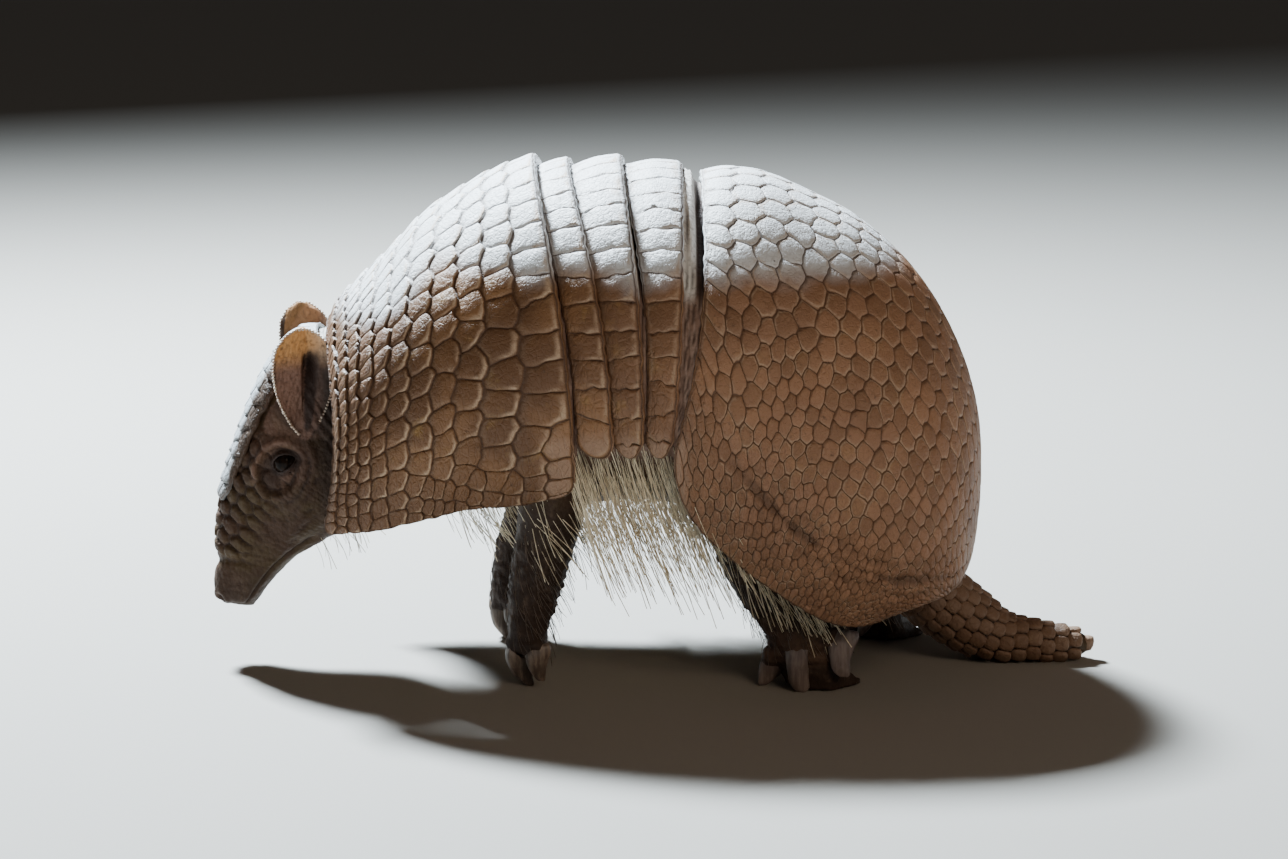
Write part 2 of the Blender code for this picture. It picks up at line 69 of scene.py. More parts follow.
# Arch: crest x, crest z, edge x, edge z, half width, wrap (degrees), bow of the middle.
SCAPULAR_ARCHES: Rows = (
    (-79.4, 86.2, -78.0, 39.4, 40.5, 110, 3.2),
    (-75.4, 92.0, -73.5, 40.2, 43.0, 111, 1.8),
    (-66.0, 101.0, -65.5, 41.4, 46.0, 112, 0.4),
    (-55.8, 111.6, -54.5, 44.2, 48.5, 113, 0.4),
    (-44.2, 119.2, -44.0, 47.0, 50.5, 114, 1.0),
    (-37.0, 122.8, -32.0, 48.2, 51.5, 115, 1.8),
    (-29.6, 125.4, -19.0, 50.6, 52.3, 115, 2.6),
)
FRONT_BAND_ARCHES: Rows = (
    (-28.8, 122.6, -17.6, 60.6, 50.4, 103, 2.6),
    (-25.0, 123.8, -14.0, 60.0, 51.2, 103, 2.7),
    (-21.2, 124.4, -10.2, 59.6, 51.9, 103, 2.7),
)
MIDDLE_BAND_ARCHES: Rows = (
    (-20.4, 122.7, -9.4, 60.4, 50.6, 103, 2.6),
    (-14.6, 124.5, -6.2, 60.0, 51.5, 103, 2.2),
    (-8.4, 125.1, -3.2, 60.0, 52.2, 103, 1.6),
)
REAR_BAND_ARCHES: Rows = (
    (-7.2, 123.0, -2.2, 60.4, 50.8, 103, 2.8),
    (-0.6, 124.0, 0.9, 60.0, 51.7, 103, 1.8),
    (6.2, 123.3, 3.4, 60.4, 52.3, 103, 0.9),
)
PELVIC_ARCHES: Rows = (
    (11.6, 121.6, 4.2, 59.0, 52.0, 103, 3.2),
    (17.5, 122.4, 6.4, 50.0, 52.4, 109, 2.4),
    (26.5, 121.2, 10.2, 43.2, 52.4, 113, 1.2),
    (37.0, 116.8, 15.5, 37.6, 52.2, 115, 0.4),
    (50.0, 109.8, 22.5, 31.6, 51.6, 115, 0.0),
    (63.3, 97.4, 31.0, 25.6, 50.6, 114, 0.0),
    (73.0, 81.8, 39.0, 20.6, 49.0, 113, 0.0),
    (78.6, 65.0, 45.5, 18.4, 46.6, 112, 0.0),
    (79.8, 47.7, 51.0, 18.2, 43.6, 112, 0.0),
    (78.4, 31.6, 56.0, 19.6, 40.0, 112, 0.0),
    (75.9, 25.2, 61.0, 22.0, 36.5, 112, 0.0),
)


# --- small tools ---
def through(rows: Rows, places: Array) -> Array:
    """Reads rows of numbers off a Catmull-Rom curve.

    Args:
        rows: the rows that the curve passes through.
        places: where to read, counted in rows from 0.

    Returns:
        One row of numbers for each place.
    """
    table = np.asarray(rows, float)
    padded = np.vstack((2 * table[0] - table[1], table, 2 * table[-1] - table[-2]))
    places = np.asarray(places, float)
    first = np.clip(places.astype(int), 0, len(table) - 2)
    t = (places - first)[:, None]
    before, start, end, after = (padded[first + i] for i in range(4))
    return 0.5 * (2 * start + (end - before) * t + (2 * before - 5 * start + 4 * end - after) * t * t
                  + (3 * start - before - 3 * end + after) * t ** 3)


def nowhere(points: Array) -> Array:
    """Zero for each point."""
    return np.zeros(len(points))


def unit(vectors: Array) -> Array:
    """Vectors of length one in the same directions."""
    return vectors / np.maximum(np.linalg.norm(vectors, axis=-1, keepdims=True), 1e-9)


def rise(low: float, high: float, values: Array) -> Array:
    """An S-shaped rise from 0 at `low` to 1 at `high`."""
    t = np.clip((values - low) / (high - low), 0, 1)
    return t * t * (3 - 2 * t)


def hill(values: Array, start: float, full: float, fading: float, end: float) -> Array:
    """0 up to `start`, 1 from `full` to `fading` and 0 again from `end`."""
    return rise(start, full, values) * rise(end, fading, values)


def bell(gap: Array, wide: float) -> Array:
    """A soft peak: 1 where the gap is 0, and about a third where it is `wide`."""
    return np.exp(-(gap / wide) ** 2)


def pairs(rows: Array, columns: Array) -> list[Array]:
    """Each of the first values with each of the second, as two long arrays."""
    return [part.ravel() for part in np.meshgrid(rows, columns, indexing="ij")]


def rowwise(*parts: object) -> Array:
    """Numbers side by side, one row for each place."""
    return np.stack(np.broadcast_arrays(*parts), -1)


def apart(points: Array, spot: Array) -> Array:
    """How far each point is from a spot."""
    return np.linalg.norm(points - spot, axis=1)


def ripple(points: Array, wavelength: float, seed: int) -> Array:
    """A smooth random field made of sine waves that cross each other.

    Args:
        points: places, one a row, with two or three coordinates.
        wavelength: the typical distance from crest to crest.
        seed: fixes the directions and phases.

    Returns:
        One number between -1 and 1 for each place.
    """
    rng = np.random.default_rng(seed)
    total = np.zeros(len(points))
    for _ in range(7):
        direction = unit(rng.normal(size=points.shape[1]))
        rate = 2 * math.pi / (wavelength * rng.uniform(0.6, 1.6))
        total += np.sin(points @ direction * rate + rng.uniform(0, 2 * math.pi))
    return total / 4.0


def make_mesh(name: str, points: Array, faces: list[Array]) -> Mesh:
    """Makes a mesh from points in millimetres and arrays of triangles or quads.

    Args:
        name: its name.
        points: places in millimetres, one a row.
        faces: arrays of triangles or quads, by number of point.

    Returns:
        The mesh, shaded smooth.
    """
    mesh = bpy.data.meshes.new(name)
    mesh.from_pydata((points * MM).astype(np.float32), [], [face for kind in faces for face in kind.tolist()])
    mesh.validate()
    mesh.shade_smooth()
    return mesh


def store(mesh: Mesh, name: str, values: Array) -> None:
    """Keeps one number or vector for each point of the mesh under a name.

    Args:
        mesh: the mesh.
        name: what they are kept as.
        values: one number or vector for each point.
    """
    kind, key = ("FLOAT", "value") if values.ndim == 1 else ("FLOAT_VECTOR", "vector")
    attribute = mesh.attributes.new(name, kind, "POINT")
    attribute.data.foreach_set(key, values.astype(np.float32).reshape(-1))


def grid_faces(rows: int, columns: int, closed: bool = False) -> Array:
    """Quads between neighbouring points of a grid numbered row by row.

    Args:
        rows: how many rows of points.
        columns: how many points in a row.
        closed: whether each row closes into a ring.

    Returns:
        Four numbers of points for each quad.
    """
    span = columns if closed else columns - 1
    i, j = pairs(np.arange(rows - 1), np.arange(span))
    k = (j + 1) % columns
    return rowwise(i * columns + j, i * columns + k, (i + 1) * columns + k, (i + 1) * columns + j)


def add_object(name: str, mesh: Mesh, finish: Material | None = None) -> Piece:
    """Puts a mesh in the scene as an object, with one material.

    Args:
        name: its name.
        mesh: its shape.
        finish: its material.

    Returns:
        The object.
    """
    made = bpy.data.objects.new(name, mesh)
    bpy.context.scene.collection.objects.link(made)
    if finish is not None and not mesh.materials:
        mesh.materials.append(finish)
    return made


def settle(made: Piece) -> Piece:
    """Turns the object's modifiers into a plain mesh and takes them off.

    Args:
        made: an object with modifiers.

    Returns:
        The same object.
    """
    bpy.context.view_layer.update()
    depsgraph = bpy.context.evaluated_depsgraph_get()
    mesh = bpy.data.meshes.new_from_object(made.evaluated_get(depsgraph), depsgraph=depsgraph)
    made.modifiers.clear()
    made.data = mesh
    mesh.name = made.name
    mesh.shade_smooth()
    return made


def hand_over(piece: Piece, slot: str, nodes: list[str]) -> None:
    """Puts a piece on its body and hides the nodes it stands for.

    Args:
        piece: the piece.
        slot: not used.
        nodes: the nodes it stands for, if any.
    """
    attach(piece, BODY)
    if nodes:
        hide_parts(*nodes)
    LOG.info("%s: %d faces", piece.name, len(piece.data.polygons))


def operator(operation: str, turned: bool = False) -> Callable[["Num", object], "Num"]:
    """A method that works out one number from two.

    Args:
        operation: Blender's name of the sum.
        turned: whether the number comes second.

    Returns:
        The method.
    """
    def work(self: "Num", other: object) -> "Num":
        """The result, in the same node tree."""
        return self.graph.math(operation, *((other, self) if turned else (self, other)))
    return work


@dataclass
class Num:
    """An output of a node, which can be worked on with + - * / and **."""

    graph: "Graph"
    socket: bpy.types.NodeSocket

    __add__, __radd__ = operator("ADD"), operator("ADD", True)
    __sub__, __rsub__ = operator("SUBTRACT"), operator("SUBTRACT", True)
    __mul__, __rmul__ = operator("MULTIPLY"), operator("MULTIPLY", True)
    __truediv__, __rtruediv__ = operator("DIVIDE"), operator("DIVIDE", True)
    __pow__ = operator("POWER")


@dataclass
class Graph:
    """Writes nodes into a node tree, one short call for each."""

    tree: bpy.types.NodeTree

    def add(self, kind: str, inputs: dict | None = None, **settings: object) -> bpy.types.Node:
        """Adds a node.

        Args:
            kind: Blender's name of the node's type.
            inputs: socket name or number against a value or another node's output.
            **settings: the node's own properties.

        Returns:
            The new node.
        """
        node = self.tree.nodes.new(kind)
        for key, value in settings.items():
            setattr(node, key, value)
        for key, value in (inputs or {}).items():
            if isinstance(value, Num):
                self.tree.links.new(value.socket, node.inputs[key])
            else:
                node.inputs[key].default_value = value
        return node

    def out(self, kind: str, inputs: dict | None = None, output: int = 0, **settings: object) -> Num:
        """Adds a node and returns one of its outputs."""
        return Num(self, self.add(kind, inputs, **settings).outputs[output])

    def math(self, operation: str, *values: object) -> Num:
        """A number worked out from one or two others."""
        return self.out("ShaderNodeMath", dict(enumerate(values)), operation=operation)

    def rise(self, value: object, low: float, high: float, to: float = 1.0) -> Num:
        """A smooth rise from 0, where `value` is `low`, to `to`, where it is `high`."""
        inputs = {"Value": value, "From Min": low, "From Max": high, "To Max": to}
        return self.out("ShaderNodeMapRange", inputs, interpolation_type="SMOOTHSTEP")

    def mix(self, share: object, first: object, second: object) -> Num:
        """A colour between `first` and `second`."""
        ends = [end if isinstance(end, Num) else (*end, 1.0) for end in (first, second)]
        return self.out("ShaderNodeMix", {0: share, 6: ends[0], 7: ends[1]}, 2, data_type="RGBA")

    def noise(self, place: Num, size: float, detail: float = 3.0, **more: float) -> Num:
        """Cloudy noise whose lumps are about `size` metres across."""
        inputs = {"Vector": place, "Scale": 1.0 / size, "Detail": detail, **more}
        return self.out("ShaderNodeTexNoise", inputs)

    def cells(self, place: Num, size: float, feature: str = "F1") -> Num:
        """Distance inside random cells about `size` metres across."""
        return self.out("ShaderNodeTexVoronoi", {"Vector": place, "Scale": 1.0 / size}, feature=feature)

    def stretch(self, place: Num, factors: Triple) -> Num:
        """Coordinates multiplied along X, Y and Z."""
        return self.out("ShaderNodeMapping", {"Vector": place, "Scale": factors})

    def axes(self, place: Num) -> list[Num]:
        """The X, Y and Z of a place."""
        return [Num(self, end) for end in self.add("ShaderNodeSeparateXYZ", {0: place}).outputs]

    def scaled(self, way: Num, size: object) -> Num:
        """A vector made longer or shorter."""
        return self.out("ShaderNodeVectorMath", {0: way, "Scale": size}, operation="SCALE")

    def read(self, name: str) -> Num:
        """A number kept on the mesh under a name, in a material."""
        return self.out("ShaderNodeAttribute", output=2, attribute_name=name)

    def kept(self, name: str, kind: str = "FLOAT") -> Num:
        """A number or vector kept on the mesh under a name, in a geometry tree."""
        return self.out("GeometryNodeInputNamedAttribute", {"Name": name}, data_type=kind)


class PieceTree:
    """A node tree with named sizes that shapes and dresses pieces; each kind wires its own."""

    name: ClassVar[str] = "piece"
    sizes: ClassVar[dict[str, float]] = {}

    def __init__(self) -> None:
        """Builds the tree."""
        self.tree = bpy.data.node_groups.new(self.name, "GeometryNodeTree")
        face = self.tree.interface
        face.new_socket("Geometry", in_out="INPUT", socket_type="NodeSocketGeometry")
        self.sockets = {}
        for key, size in {**self.sizes, "finish": None}.items():
            kind = {int: "NodeSocketInt", float: "NodeSocketFloat"}.get(type(size), "NodeSocketMaterial")
            socket = face.new_socket(key, in_out="INPUT", socket_type=kind)
            if size is not None:
                socket.default_value = size
            self.sockets[key] = socket.identifier
        face.new_socket("Geometry", in_out="OUTPUT", socket_type="NodeSocketGeometry")
        g = Graph(self.tree)
        given = {end.name: Num(g, end) for end in g.add("NodeGroupInput").outputs}
        real = g.out("GeometryNodeRealizeInstances", {0: self.wire(g, given)})
        dressed = g.out("GeometryNodeSetMaterial", {"Geometry": real, "Material": given["finish"]})
        g.add("NodeGroupOutput", {0: dressed})

    def wire(self, g: Graph, given: dict[str, Num]) -> Num:
        """Lays the nodes that shape the piece."""
        return given["Geometry"]

    def apply(self, piece: Piece, finish: Material, **sizes: float) -> Piece:
        """Runs the tree on a piece, with sizes where they differ, and leaves it a plain mesh.

        Args:
            piece: the piece.
            finish: its material.
            **sizes: named sizes that differ from the tree's own.

        Returns:
            The same piece.
        """
        step = piece.modifiers.new(self.name, "NODES")
        step.node_group = self.tree
        for key, size in {"finish": finish, **sizes}.items():
            step[self.sockets[key]] = size
        return settle(piece)


# --- finishes ---
Colour = Triple


@dataclass(frozen=True)
class Finish:
    """What every finish shares: a name, a surface and a way to start and end its material.

    A bump of height 1 is `depth` metres deep.
    """

    name: str = "plain"
    roughness: float = 0.6
    depth: float = field(default=0.00014, kw_only=True)
    gloss: float = field(default=0.5, kw_only=True)

    def start(self) -> tuple[Material, Graph, Num]:
        """A new material with an empty tree, its graph and Object coordinates.

        Returns:
            The material, its graph and the coordinates.
        """
        made = bpy.data.materials.new(self.name)
        made.use_nodes = True
        made.node_tree.nodes.clear()
        graph = Graph(made.node_tree)
        return made, graph, graph.out("ShaderNodeTexCoord", output=3)

    def end(self, graph: Graph, colour: Num, roughness: object, height: Num) -> None:
        """Adds the shader with its colour, its roughness and its bump, whose height is from 0 to 1.

        Args:
            graph: the material's graph.
            colour: the base colour.
            roughness: a number or an output.
            height: the height of the bump, from 0 to 1.
        """
        bump = graph.out("ShaderNodeBump", {"Height": height, "Distance": self.depth, "Strength": 1.0})
        inputs = {"Base Color": colour, "Roughness": roughness, "Normal": bump,
                  "Specular IOR Level": self.gloss}
        graph.add("ShaderNodeOutputMaterial", {"Surface": graph.out("ShaderNodeBsdfPrincipled", inputs)})


@dataclass(frozen=True)
class ScuteHorn(Finish):
    """Weathered horn of the scutes: tan on the flanks, with dust and a painted bluish-white highlight along
    the back.
    """

    name: str = "weathered_scute_horn"
    roughness: float = 0.5
    depth: float = 0.00045
    gloss: float = 0.32
    tan: Colour = (0.240, 0.118, 0.050)
    umber: Colour = (0.122, 0.057, 0.025)
    straw: Colour = (0.29, 0.165, 0.050)
    pink: Colour = (0.355, 0.186, 0.108)
    # Dust and a painted highlight: the pale bluish-white colour of the shell's top.
    bleached: Colour = (0.69, 0.715, 0.735)
    # Colour of grooves and cracks, also laid as painted shade under scute edges and in the hip crease.
    crease: Colour = (0.070, 0.036, 0.021)
    ridge: Colour = (0.46, 0.32, 0.21)
    lobe: Colour = (0.33, 0.205, 0.135)
    pit: Colour = (0.035, 0.018, 0.011)
    # Heights where the dust and painted highlight begin and end, how far that line falls towards the front,
    # and how far across it reaches.
    bleach_from: float = 0.0975
    bleach_to: float = 0.1050
    crest_fall: float = 0.013
    bleach_half: float = 1.0
    rear_from: float = -0.034
    rear_to: float = 0.027

    def build(self) -> Material:
        """Makes the material.

        Returns:
            The material.
        """
        made, g, place = self.start()
        inside, tone, fine = g.read("inside"), g.read("tone"), g.read("fine")
        clouds = g.noise(place, 0.022, 4.0)
        blotch = g.noise(place, 0.0075, 5.0, Roughness=0.62)
        grain = g.noise(place, 0.0016, 4.0, Roughness=0.7)
        axes = g.axes(place)
        body = g.mix(g.rise(clouds, 0.38, 0.62), self.tan, self.umber)
        body = g.mix(g.rise(blotch, 0.55, 0.72, 0.75), body, self.straw)
        rear = g.rise(axes[0], self.rear_from, self.rear_to) * 0.65
        body = g.mix(rear, body, self.pink)
        body = g.mix(tone * 0.45, body, self.umber)
        # Painted shade: the front of the shell darkened towards its front rim and its lower edge.
        painted_low_front_shade = g.math("MAXIMUM", g.rise(axes[0], -0.052, -0.072), g.rise(axes[2], 0.066, 0.044))
        painted_low_front_shade = painted_low_front_shade * g.rise(axes[0], -0.012, -0.030, 0.92)
        body = g.mix(painted_low_front_shade, body, self.umber)
        # Dust and a painted highlight: above a wavy height that falls towards the front, the horn turns pale
        # bluish white.
        wave = (clouds - 0.5) * 0.016
        falling = g.rise(axes[0], -0.045, -0.078, self.crest_fall)
        height = axes[2] + falling + wave
        dust_and_highlight_share = g.rise(height, self.bleach_from, self.bleach_to, 0.85)
        dust_and_highlight_share = dust_and_highlight_share * g.rise(g.math("ABSOLUTE", axes[1]), self.bleach_half, self.bleach_half * 0.7)
        body = g.mix(dust_and_highlight_share, body, self.bleached)
        body = g.mix(g.rise(grain, 0.60, 0.74, 0.55), body, self.pit)
        worn = g.rise(inside, 0.04, 0.14) * g.rise(inside, 0.42, 0.16)
        lean, low = g.read("lean"), g.read("low")
        behind = lean * 0.8 + low * 0.5
        worn = worn * (0.15 + g.rise(behind, 0.15, 0.85))
        worn = worn * g.rise(blotch, 0.34, 0.56, 0.8)
        worn = worn * (1.0 - rear)
        outline = g.rise(inside, 0.05, 0.12) * g.rise(inside, 0.30, 0.14)
        outline = outline * (rear * g.rise(blotch, 0.42, 0.58, 0.8))
        # Painted shade on each scute's front and upper side, under the raised edge of the scute in front.
        shaded = g.rise(behind, -0.25, -0.95, 0.55) * g.rise(inside, 0.40, 0.10)
        body = g.mix(shaded, body, self.crease)
        body = g.mix(g.math("MAXIMUM", worn, outline), body, self.ridge)
        crease = 1.0 - g.rise(inside, 0.01, 0.075)
        body = g.mix(crease * 0.82, body, self.crease)
        # Painted shade in the hip crease, darker where it is deeper.
        body = g.mix(g.rise(g.read("dent"), 0.1, 1.0, 0.62), body, self.crease)
        lobes = g.rise(axes[2], 0.0675, 0.0625) * g.rise(axes[0], -0.028, -0.024)
        lobes = lobes * g.rise(axes[0], 0.009, 0.006, 0.75)
        body = g.mix(lobes * g.rise(inside, 0.10, 0.22), body, self.lobe)
        crazing = g.cells(place, 0.0013, "DISTANCE_TO_EDGE")
        crazed = g.rise(crazing, 0.08, 0.0) * g.rise(blotch, 0.44, 0.60, 0.20)
        body = g.mix(crazed, body, self.crease)
        wrinkle = g.cells(g.stretch(place, (1.5, 1.5, 0.8)), 0.0024, "DISTANCE_TO_EDGE")
        wrinkle = g.rise(wrinkle, 0.0, 0.16) * (0.30 + fine)
        relief = grain * 0.75 + wrinkle * 0.24
        relief = relief + g.rise(crazing, 0.0, 0.14, 0.12)
        rough = grain * 0.28 + (self.roughness - 0.1)
        self.end(g, body, rough, relief)
        return made


# --- shell ---
def arch_points(arches: Array, shares: Array) -> Array:
    """Points on arches, one a row, at shares from -1 at the left edge to 1 at the right one.

    Args:
        arches: a row of arch sizes for each point.
        shares: how far across each lies.

    Returns:
        Points in millimetres, one a row.
    """
    crest_x, crest_z, edge_x, edge_z, half_width, wrap, bow = arches.T
    turn = np.radians(wrap) * shares
    down = (1 - np.cos(turn)) / (1 - np.cos(np.radians(wrap)))
    x = crest_x + (edge_x - crest_x) * down + bow * np.sin(math.pi * np.minimum(down, 1))
    return rowwise(x, half_width * np.sin(turn), crest_z + (edge_z - crest_z) * down)


def travelled(line: Array) -> Array:
    """How far along a line each of its points lies."""
    return np.concatenate(([0], np.cumsum(np.linalg.norm(np.diff(line, axis=0), axis=1))))


@dataclass
class ArchSheet:
    """The curved sheet that a shell plate follows, measured in millimetres along and across."""

    rows: Rows
    reference: float = 0.45
    samples: int = 200
    length: float = field(init=False)
    half: float = field(init=False)

    def __post_init__(self) -> None:
        """Measures the sheet along its reference line and across its arches."""
        self.places = np.linspace(0, len(self.rows) - 1, self.samples)
        self.measure = travelled(arch_points(through(self.rows, self.places), self.reference))
        self.length = float(self.measure[-1])
        table = np.asarray(self.rows)
        self.half = float(np.mean(table[:, 4] * np.radians(table[:, 5])))

    def __call__(self, s: Array, t: Array) -> Array:
        """Points at `s` along the sheet and `t` across it.

        Args:
            s: millimetres along.
            t: millimetres across.

        Returns:
            Points in millimetres, one a row.
        """
        per = (len(self.rows) - 1) / (self.samples - 1)
        places = np.interp(s, self.measure, self.places)
        places = places + np.minimum(s, 0) * per / self.measure[1]
        places += np.maximum(s - self.length, 0) * per / (self.length - self.measure[-2])
        return arch_points(through(self.rows, places), t / self.half)


def outward(surface: Surface, s: Array, t: Array) -> Array:
    """Unit vectors straight out of a surface.

    Args:
        surface: gives a point for each `s` and `t`.
        s: millimetres along.
        t: millimetres across.

    Returns:
        One vector a row.
    """
    step = 0.05
    along = surface(s + step, t) - surface(s - step, t)
    return unit(np.cross(along, surface(s, t + step) - surface(s, t - step)))


def cell_outline(seed: Array, others: Array, corners: Outline) -> Outline:
    """The part of a polygon that is nearer to one seed than to the others.

    Args:
        seed: the seed's place.
        others: the places of its neighbours.
        corners: the polygon to cut down.

    Returns:
        The corners of what is left, in order.
    """
    for other in others:
        nx, ny = other - seed
        limit = ((other + seed) / 2) @ (other - seed)
        kept: Outline = []
        for k, (px, py) in enumerate(corners):
            qx, qy = corners[(k + 1) % len(corners)]
            here, there = px * nx + py * ny - limit, qx * nx + qy * ny - limit
            if here <= 0:
                kept.append((px, py))
            if (here < 0 < there) or (there < 0 < here):
                share = here / (here - there)
                kept.append((px + (qx - px) * share, py + (qy - py) * share))
        corners = kept
    return corners


@dataclass
class ScuteLayout:
    """Where the scutes of one plate lie: rows across the plate, staggered like bricks."""

    length: float
    half: float
    size: Callable[[float, float], float]
    seed: int
    stagger: float = 0.5
    jitter: float = 0.16
    depth_share: float = 0.86
    least_gap: float = 0.9
    single_row: bool = False

    def seeds(self) -> Array:
        """The middle of each scute, as rows of `s, t`.

        Returns:
            One row for each scute.
        """
        rng = np.random.default_rng(self.seed)
        found = []
        s, row = 0.0, 0
        while s < self.length - 0.6:
            deep = self.length if self.single_row else self.size(s, 0.0) * self.depth_share
            left = self.length - s
            deep = left if left < 1.6 * deep else deep
            middle = s + deep / 2
            on_crest = self.size(middle, 0)
            for side in (-1, 1):
                t = self.stagger * on_crest * (row % 2)
                if side == 1 and t == 0:
                    t = on_crest
                while t < self.half:
                    size = self.size(middle, t)
                    found.extend(self._scute(middle, side * t, size, deep, rng))
                    t += size
            s += deep
            row += 1
        return self._thinned(np.array(found))

    def _scute(self, s: float, t: float, size: float, deep: float, rng: np.random.Generator) -> Outline:
        """One scute, or the smaller ones that take its place near the lower edges.

        Args:
            s: where its middle lies along the plate.
            t: where its middle lies across the plate.
            size: how wide it is.
            deep: how long it is.
            rng: where the random shifts come from.

        Returns:
            One seed or two.
        """
        wobble = self.jitter * size
        shift = rng.uniform(-wobble, wobble, 4)
        if size < 0.66 * deep and not self.single_row:
            behind = t + math.copysign(size / 2, t)
            return [(s - deep / 4 + shift[0] / 2, t + shift[1]),
                    (s + deep / 4 + shift[2] / 2, behind + shift[3])]
        return [(s + shift[0], t + shift[1])]

    def _thinned(self, points: Array) -> Array:
        """The seeds without those that nearly coincide with an earlier one.

        Args:
            points: the seeds.

        Returns:
            Those that stay.
        """
        keep = np.ones(len(points), bool)
        for k in range(len(points)):
            if keep[k]:
                keep[k + 1:][apart(points[k + 1:], points[k]) < self.least_gap] = False
        return points[keep]


@dataclass
class ScutePlate:
    """A closed plate whose outer side is paved with scutes that share their grooves."""

    name: str
    surface: Surface
    layout: ScuteLayout
    thickness: float
    step: float = 0.9
    rings: tuple[float, ...] = (0.07, 0.18, 0.55)
    lean: Field = nowhere
    shape: Field = np.copy
    dent: Field = nowhere
    scallop: float = 0.5
    waviness: float = 0.35
    rounds: int = 0

    def _polygons(self, seeds: Array) -> list[Outline]:
        """The corners of each scute in the plate's own measure.

        Args:
            seeds: the middle of each scute.

        Returns:
            The corners of each.
        """
        length, half = self.layout.length, self.layout.half
        corners = [(0.0, -half), (length, -half), (length, half), (0.0, half)]
        gaps = np.linalg.norm(seeds[:, None] - seeds[None], axis=2)
        near = np.argsort(gaps, axis=1)[:, 1:18]
        return [cell_outline(seed, seeds[nearest], list(corners)) for seed, nearest in zip(seeds, near)]

    def _outlines(self, seeds: Array) -> list[Array]:
        """Each scute's outline, with points along its edges.

        Args:
            seeds: the middle of each scute.

        Returns:
            Rings of points on the unrolled plate.
        """
        for _ in range(self.rounds):
            seeds = np.array([np.mean(polygon, axis=0) for polygon in self._polygons(seeds)])
        outlines = []
        for polygon in self._polygons(seeds):
            ring: Outline = []
            for start, end in zip(polygon, polygon[1:] + polygon[:1]):
                count = max(1, math.ceil(round(math.dist(start, end) / self.step, 3)))
                ring.extend(tuple(a + (b - a) * (k / count) for a, b in zip(start, end))
                            for k in range(count))
            outlines.append(np.array(ring))
        return outlines

    def _bend(self, flat: Array) -> Array:
        """Gives straight grooves a slight wander, dying out at the plate's edges.

        Args:
            flat: places on the unrolled surface.

        Returns:
            The moved places.
        """
        length, half = self.layout.length, self.layout.half
        room = np.minimum.reduce([flat[:, 0], length - flat[:, 0], half - np.abs(flat[:, 1])])
        fade = rise(0.0, 2.0, room)[:, None]
        wander = rowwise(ripple(flat, 3.4, 5), ripple(flat, 3.4, 6))
        return flat + wander * fade * self.waviness

    def _build_cells(self) -> tuple[Array, dict[str, Array], list[Array], int]:
        """Flat points of all scutes, what is kept on them, their faces, and how many points are shared.

        Returns:
            The points, the named values, quads and triangles, and the count.
        """
        outlines = self._outlines(self.layout.seeds())
        keys: dict[tuple[float, float], int] = {}
        rims = [np.array([keys.setdefault(tuple(point), len(keys)) for point in np.round(ring, 3).tolist()])
                for ring in outlines]
        flat, quads, tris = [np.array(list(keys))], [], []
        dome = self._dome(flat[0][:, 1]) * 2.0
        kept = [rowwise(0.0, 0.0, 0.5, dome, 0.0)]
        total = len(keys)
        rng = np.random.default_rng(self.layout.seed + 50)
        for rim, ring in zip(rims, outlines):
            centre, count = ring.mean(0), len(ring)
            spokes = ring - centre
            radius = np.linalg.norm(spokes, axis=1, keepdims=True)
            mean, tone = radius.mean(), rng.uniform()
            dome = mean * float(self._dome(centre[1:])[0])
            after = np.roll(np.arange(count), -1)
            for share in self.rings:
                rounding = min(1.0, 1.3 * share)
                reach = (1 - share) * (radius * (1 - rounding) + mean * rounding)
                flat.append(centre + spokes / np.maximum(radius, 1e-6) * reach)
                lean, low = ((flat[-1] - centre) / mean).T
                low = low * math.copysign(1.0, centre[1])
                kept.append(rowwise(share, lean, tone, dome, low))
                here = total + np.arange(count)
                quads.append(rowwise(rim, rim[after], here[after], here))
                total, rim = total + count, here
            flat.append(centre[None])
            kept.append(np.array([[1.0, 0.0, tone, dome, 0.0]]))
            tris.append(rowwise(rim, rim[after], np.full(count, total)))
            total += 1
        stored = dict(zip(("inside", "lean", "tone", "size", "low"), np.vstack(kept).T))
        return np.vstack(flat), stored, [np.vstack(quads), np.vstack(tris)], len(keys)

    def _dome(self, t: Array) -> Array:
        """How domed the scutes are `t` across the plate: flat slabs along the back."""
        return 0.10 + 0.90 * rise(0.26, 0.52, np.abs(t) / self.layout.half)

    def _loop(self, shared: Array) -> Array:
        """Which shared points lie on the plate's border, in order round it.

        Args:
            shared: the points that scutes share, on the unrolled plate.

        Returns:
            Numbers of points.
        """
        length, half = self.layout.length, self.layout.half
        s, t = shared.T
        sides = [s < 1e-3, length - s < 1e-3, half + t < 1e-3, half - t < 1e-3]
        turns = [2 * length + 3 * half - t, length + half + t, s, 2 * length + 2 * half - s]
        travel = np.select(sides, turns, -1.0)
        order = np.argsort(travel)
        return order[travel[order] >= 0]

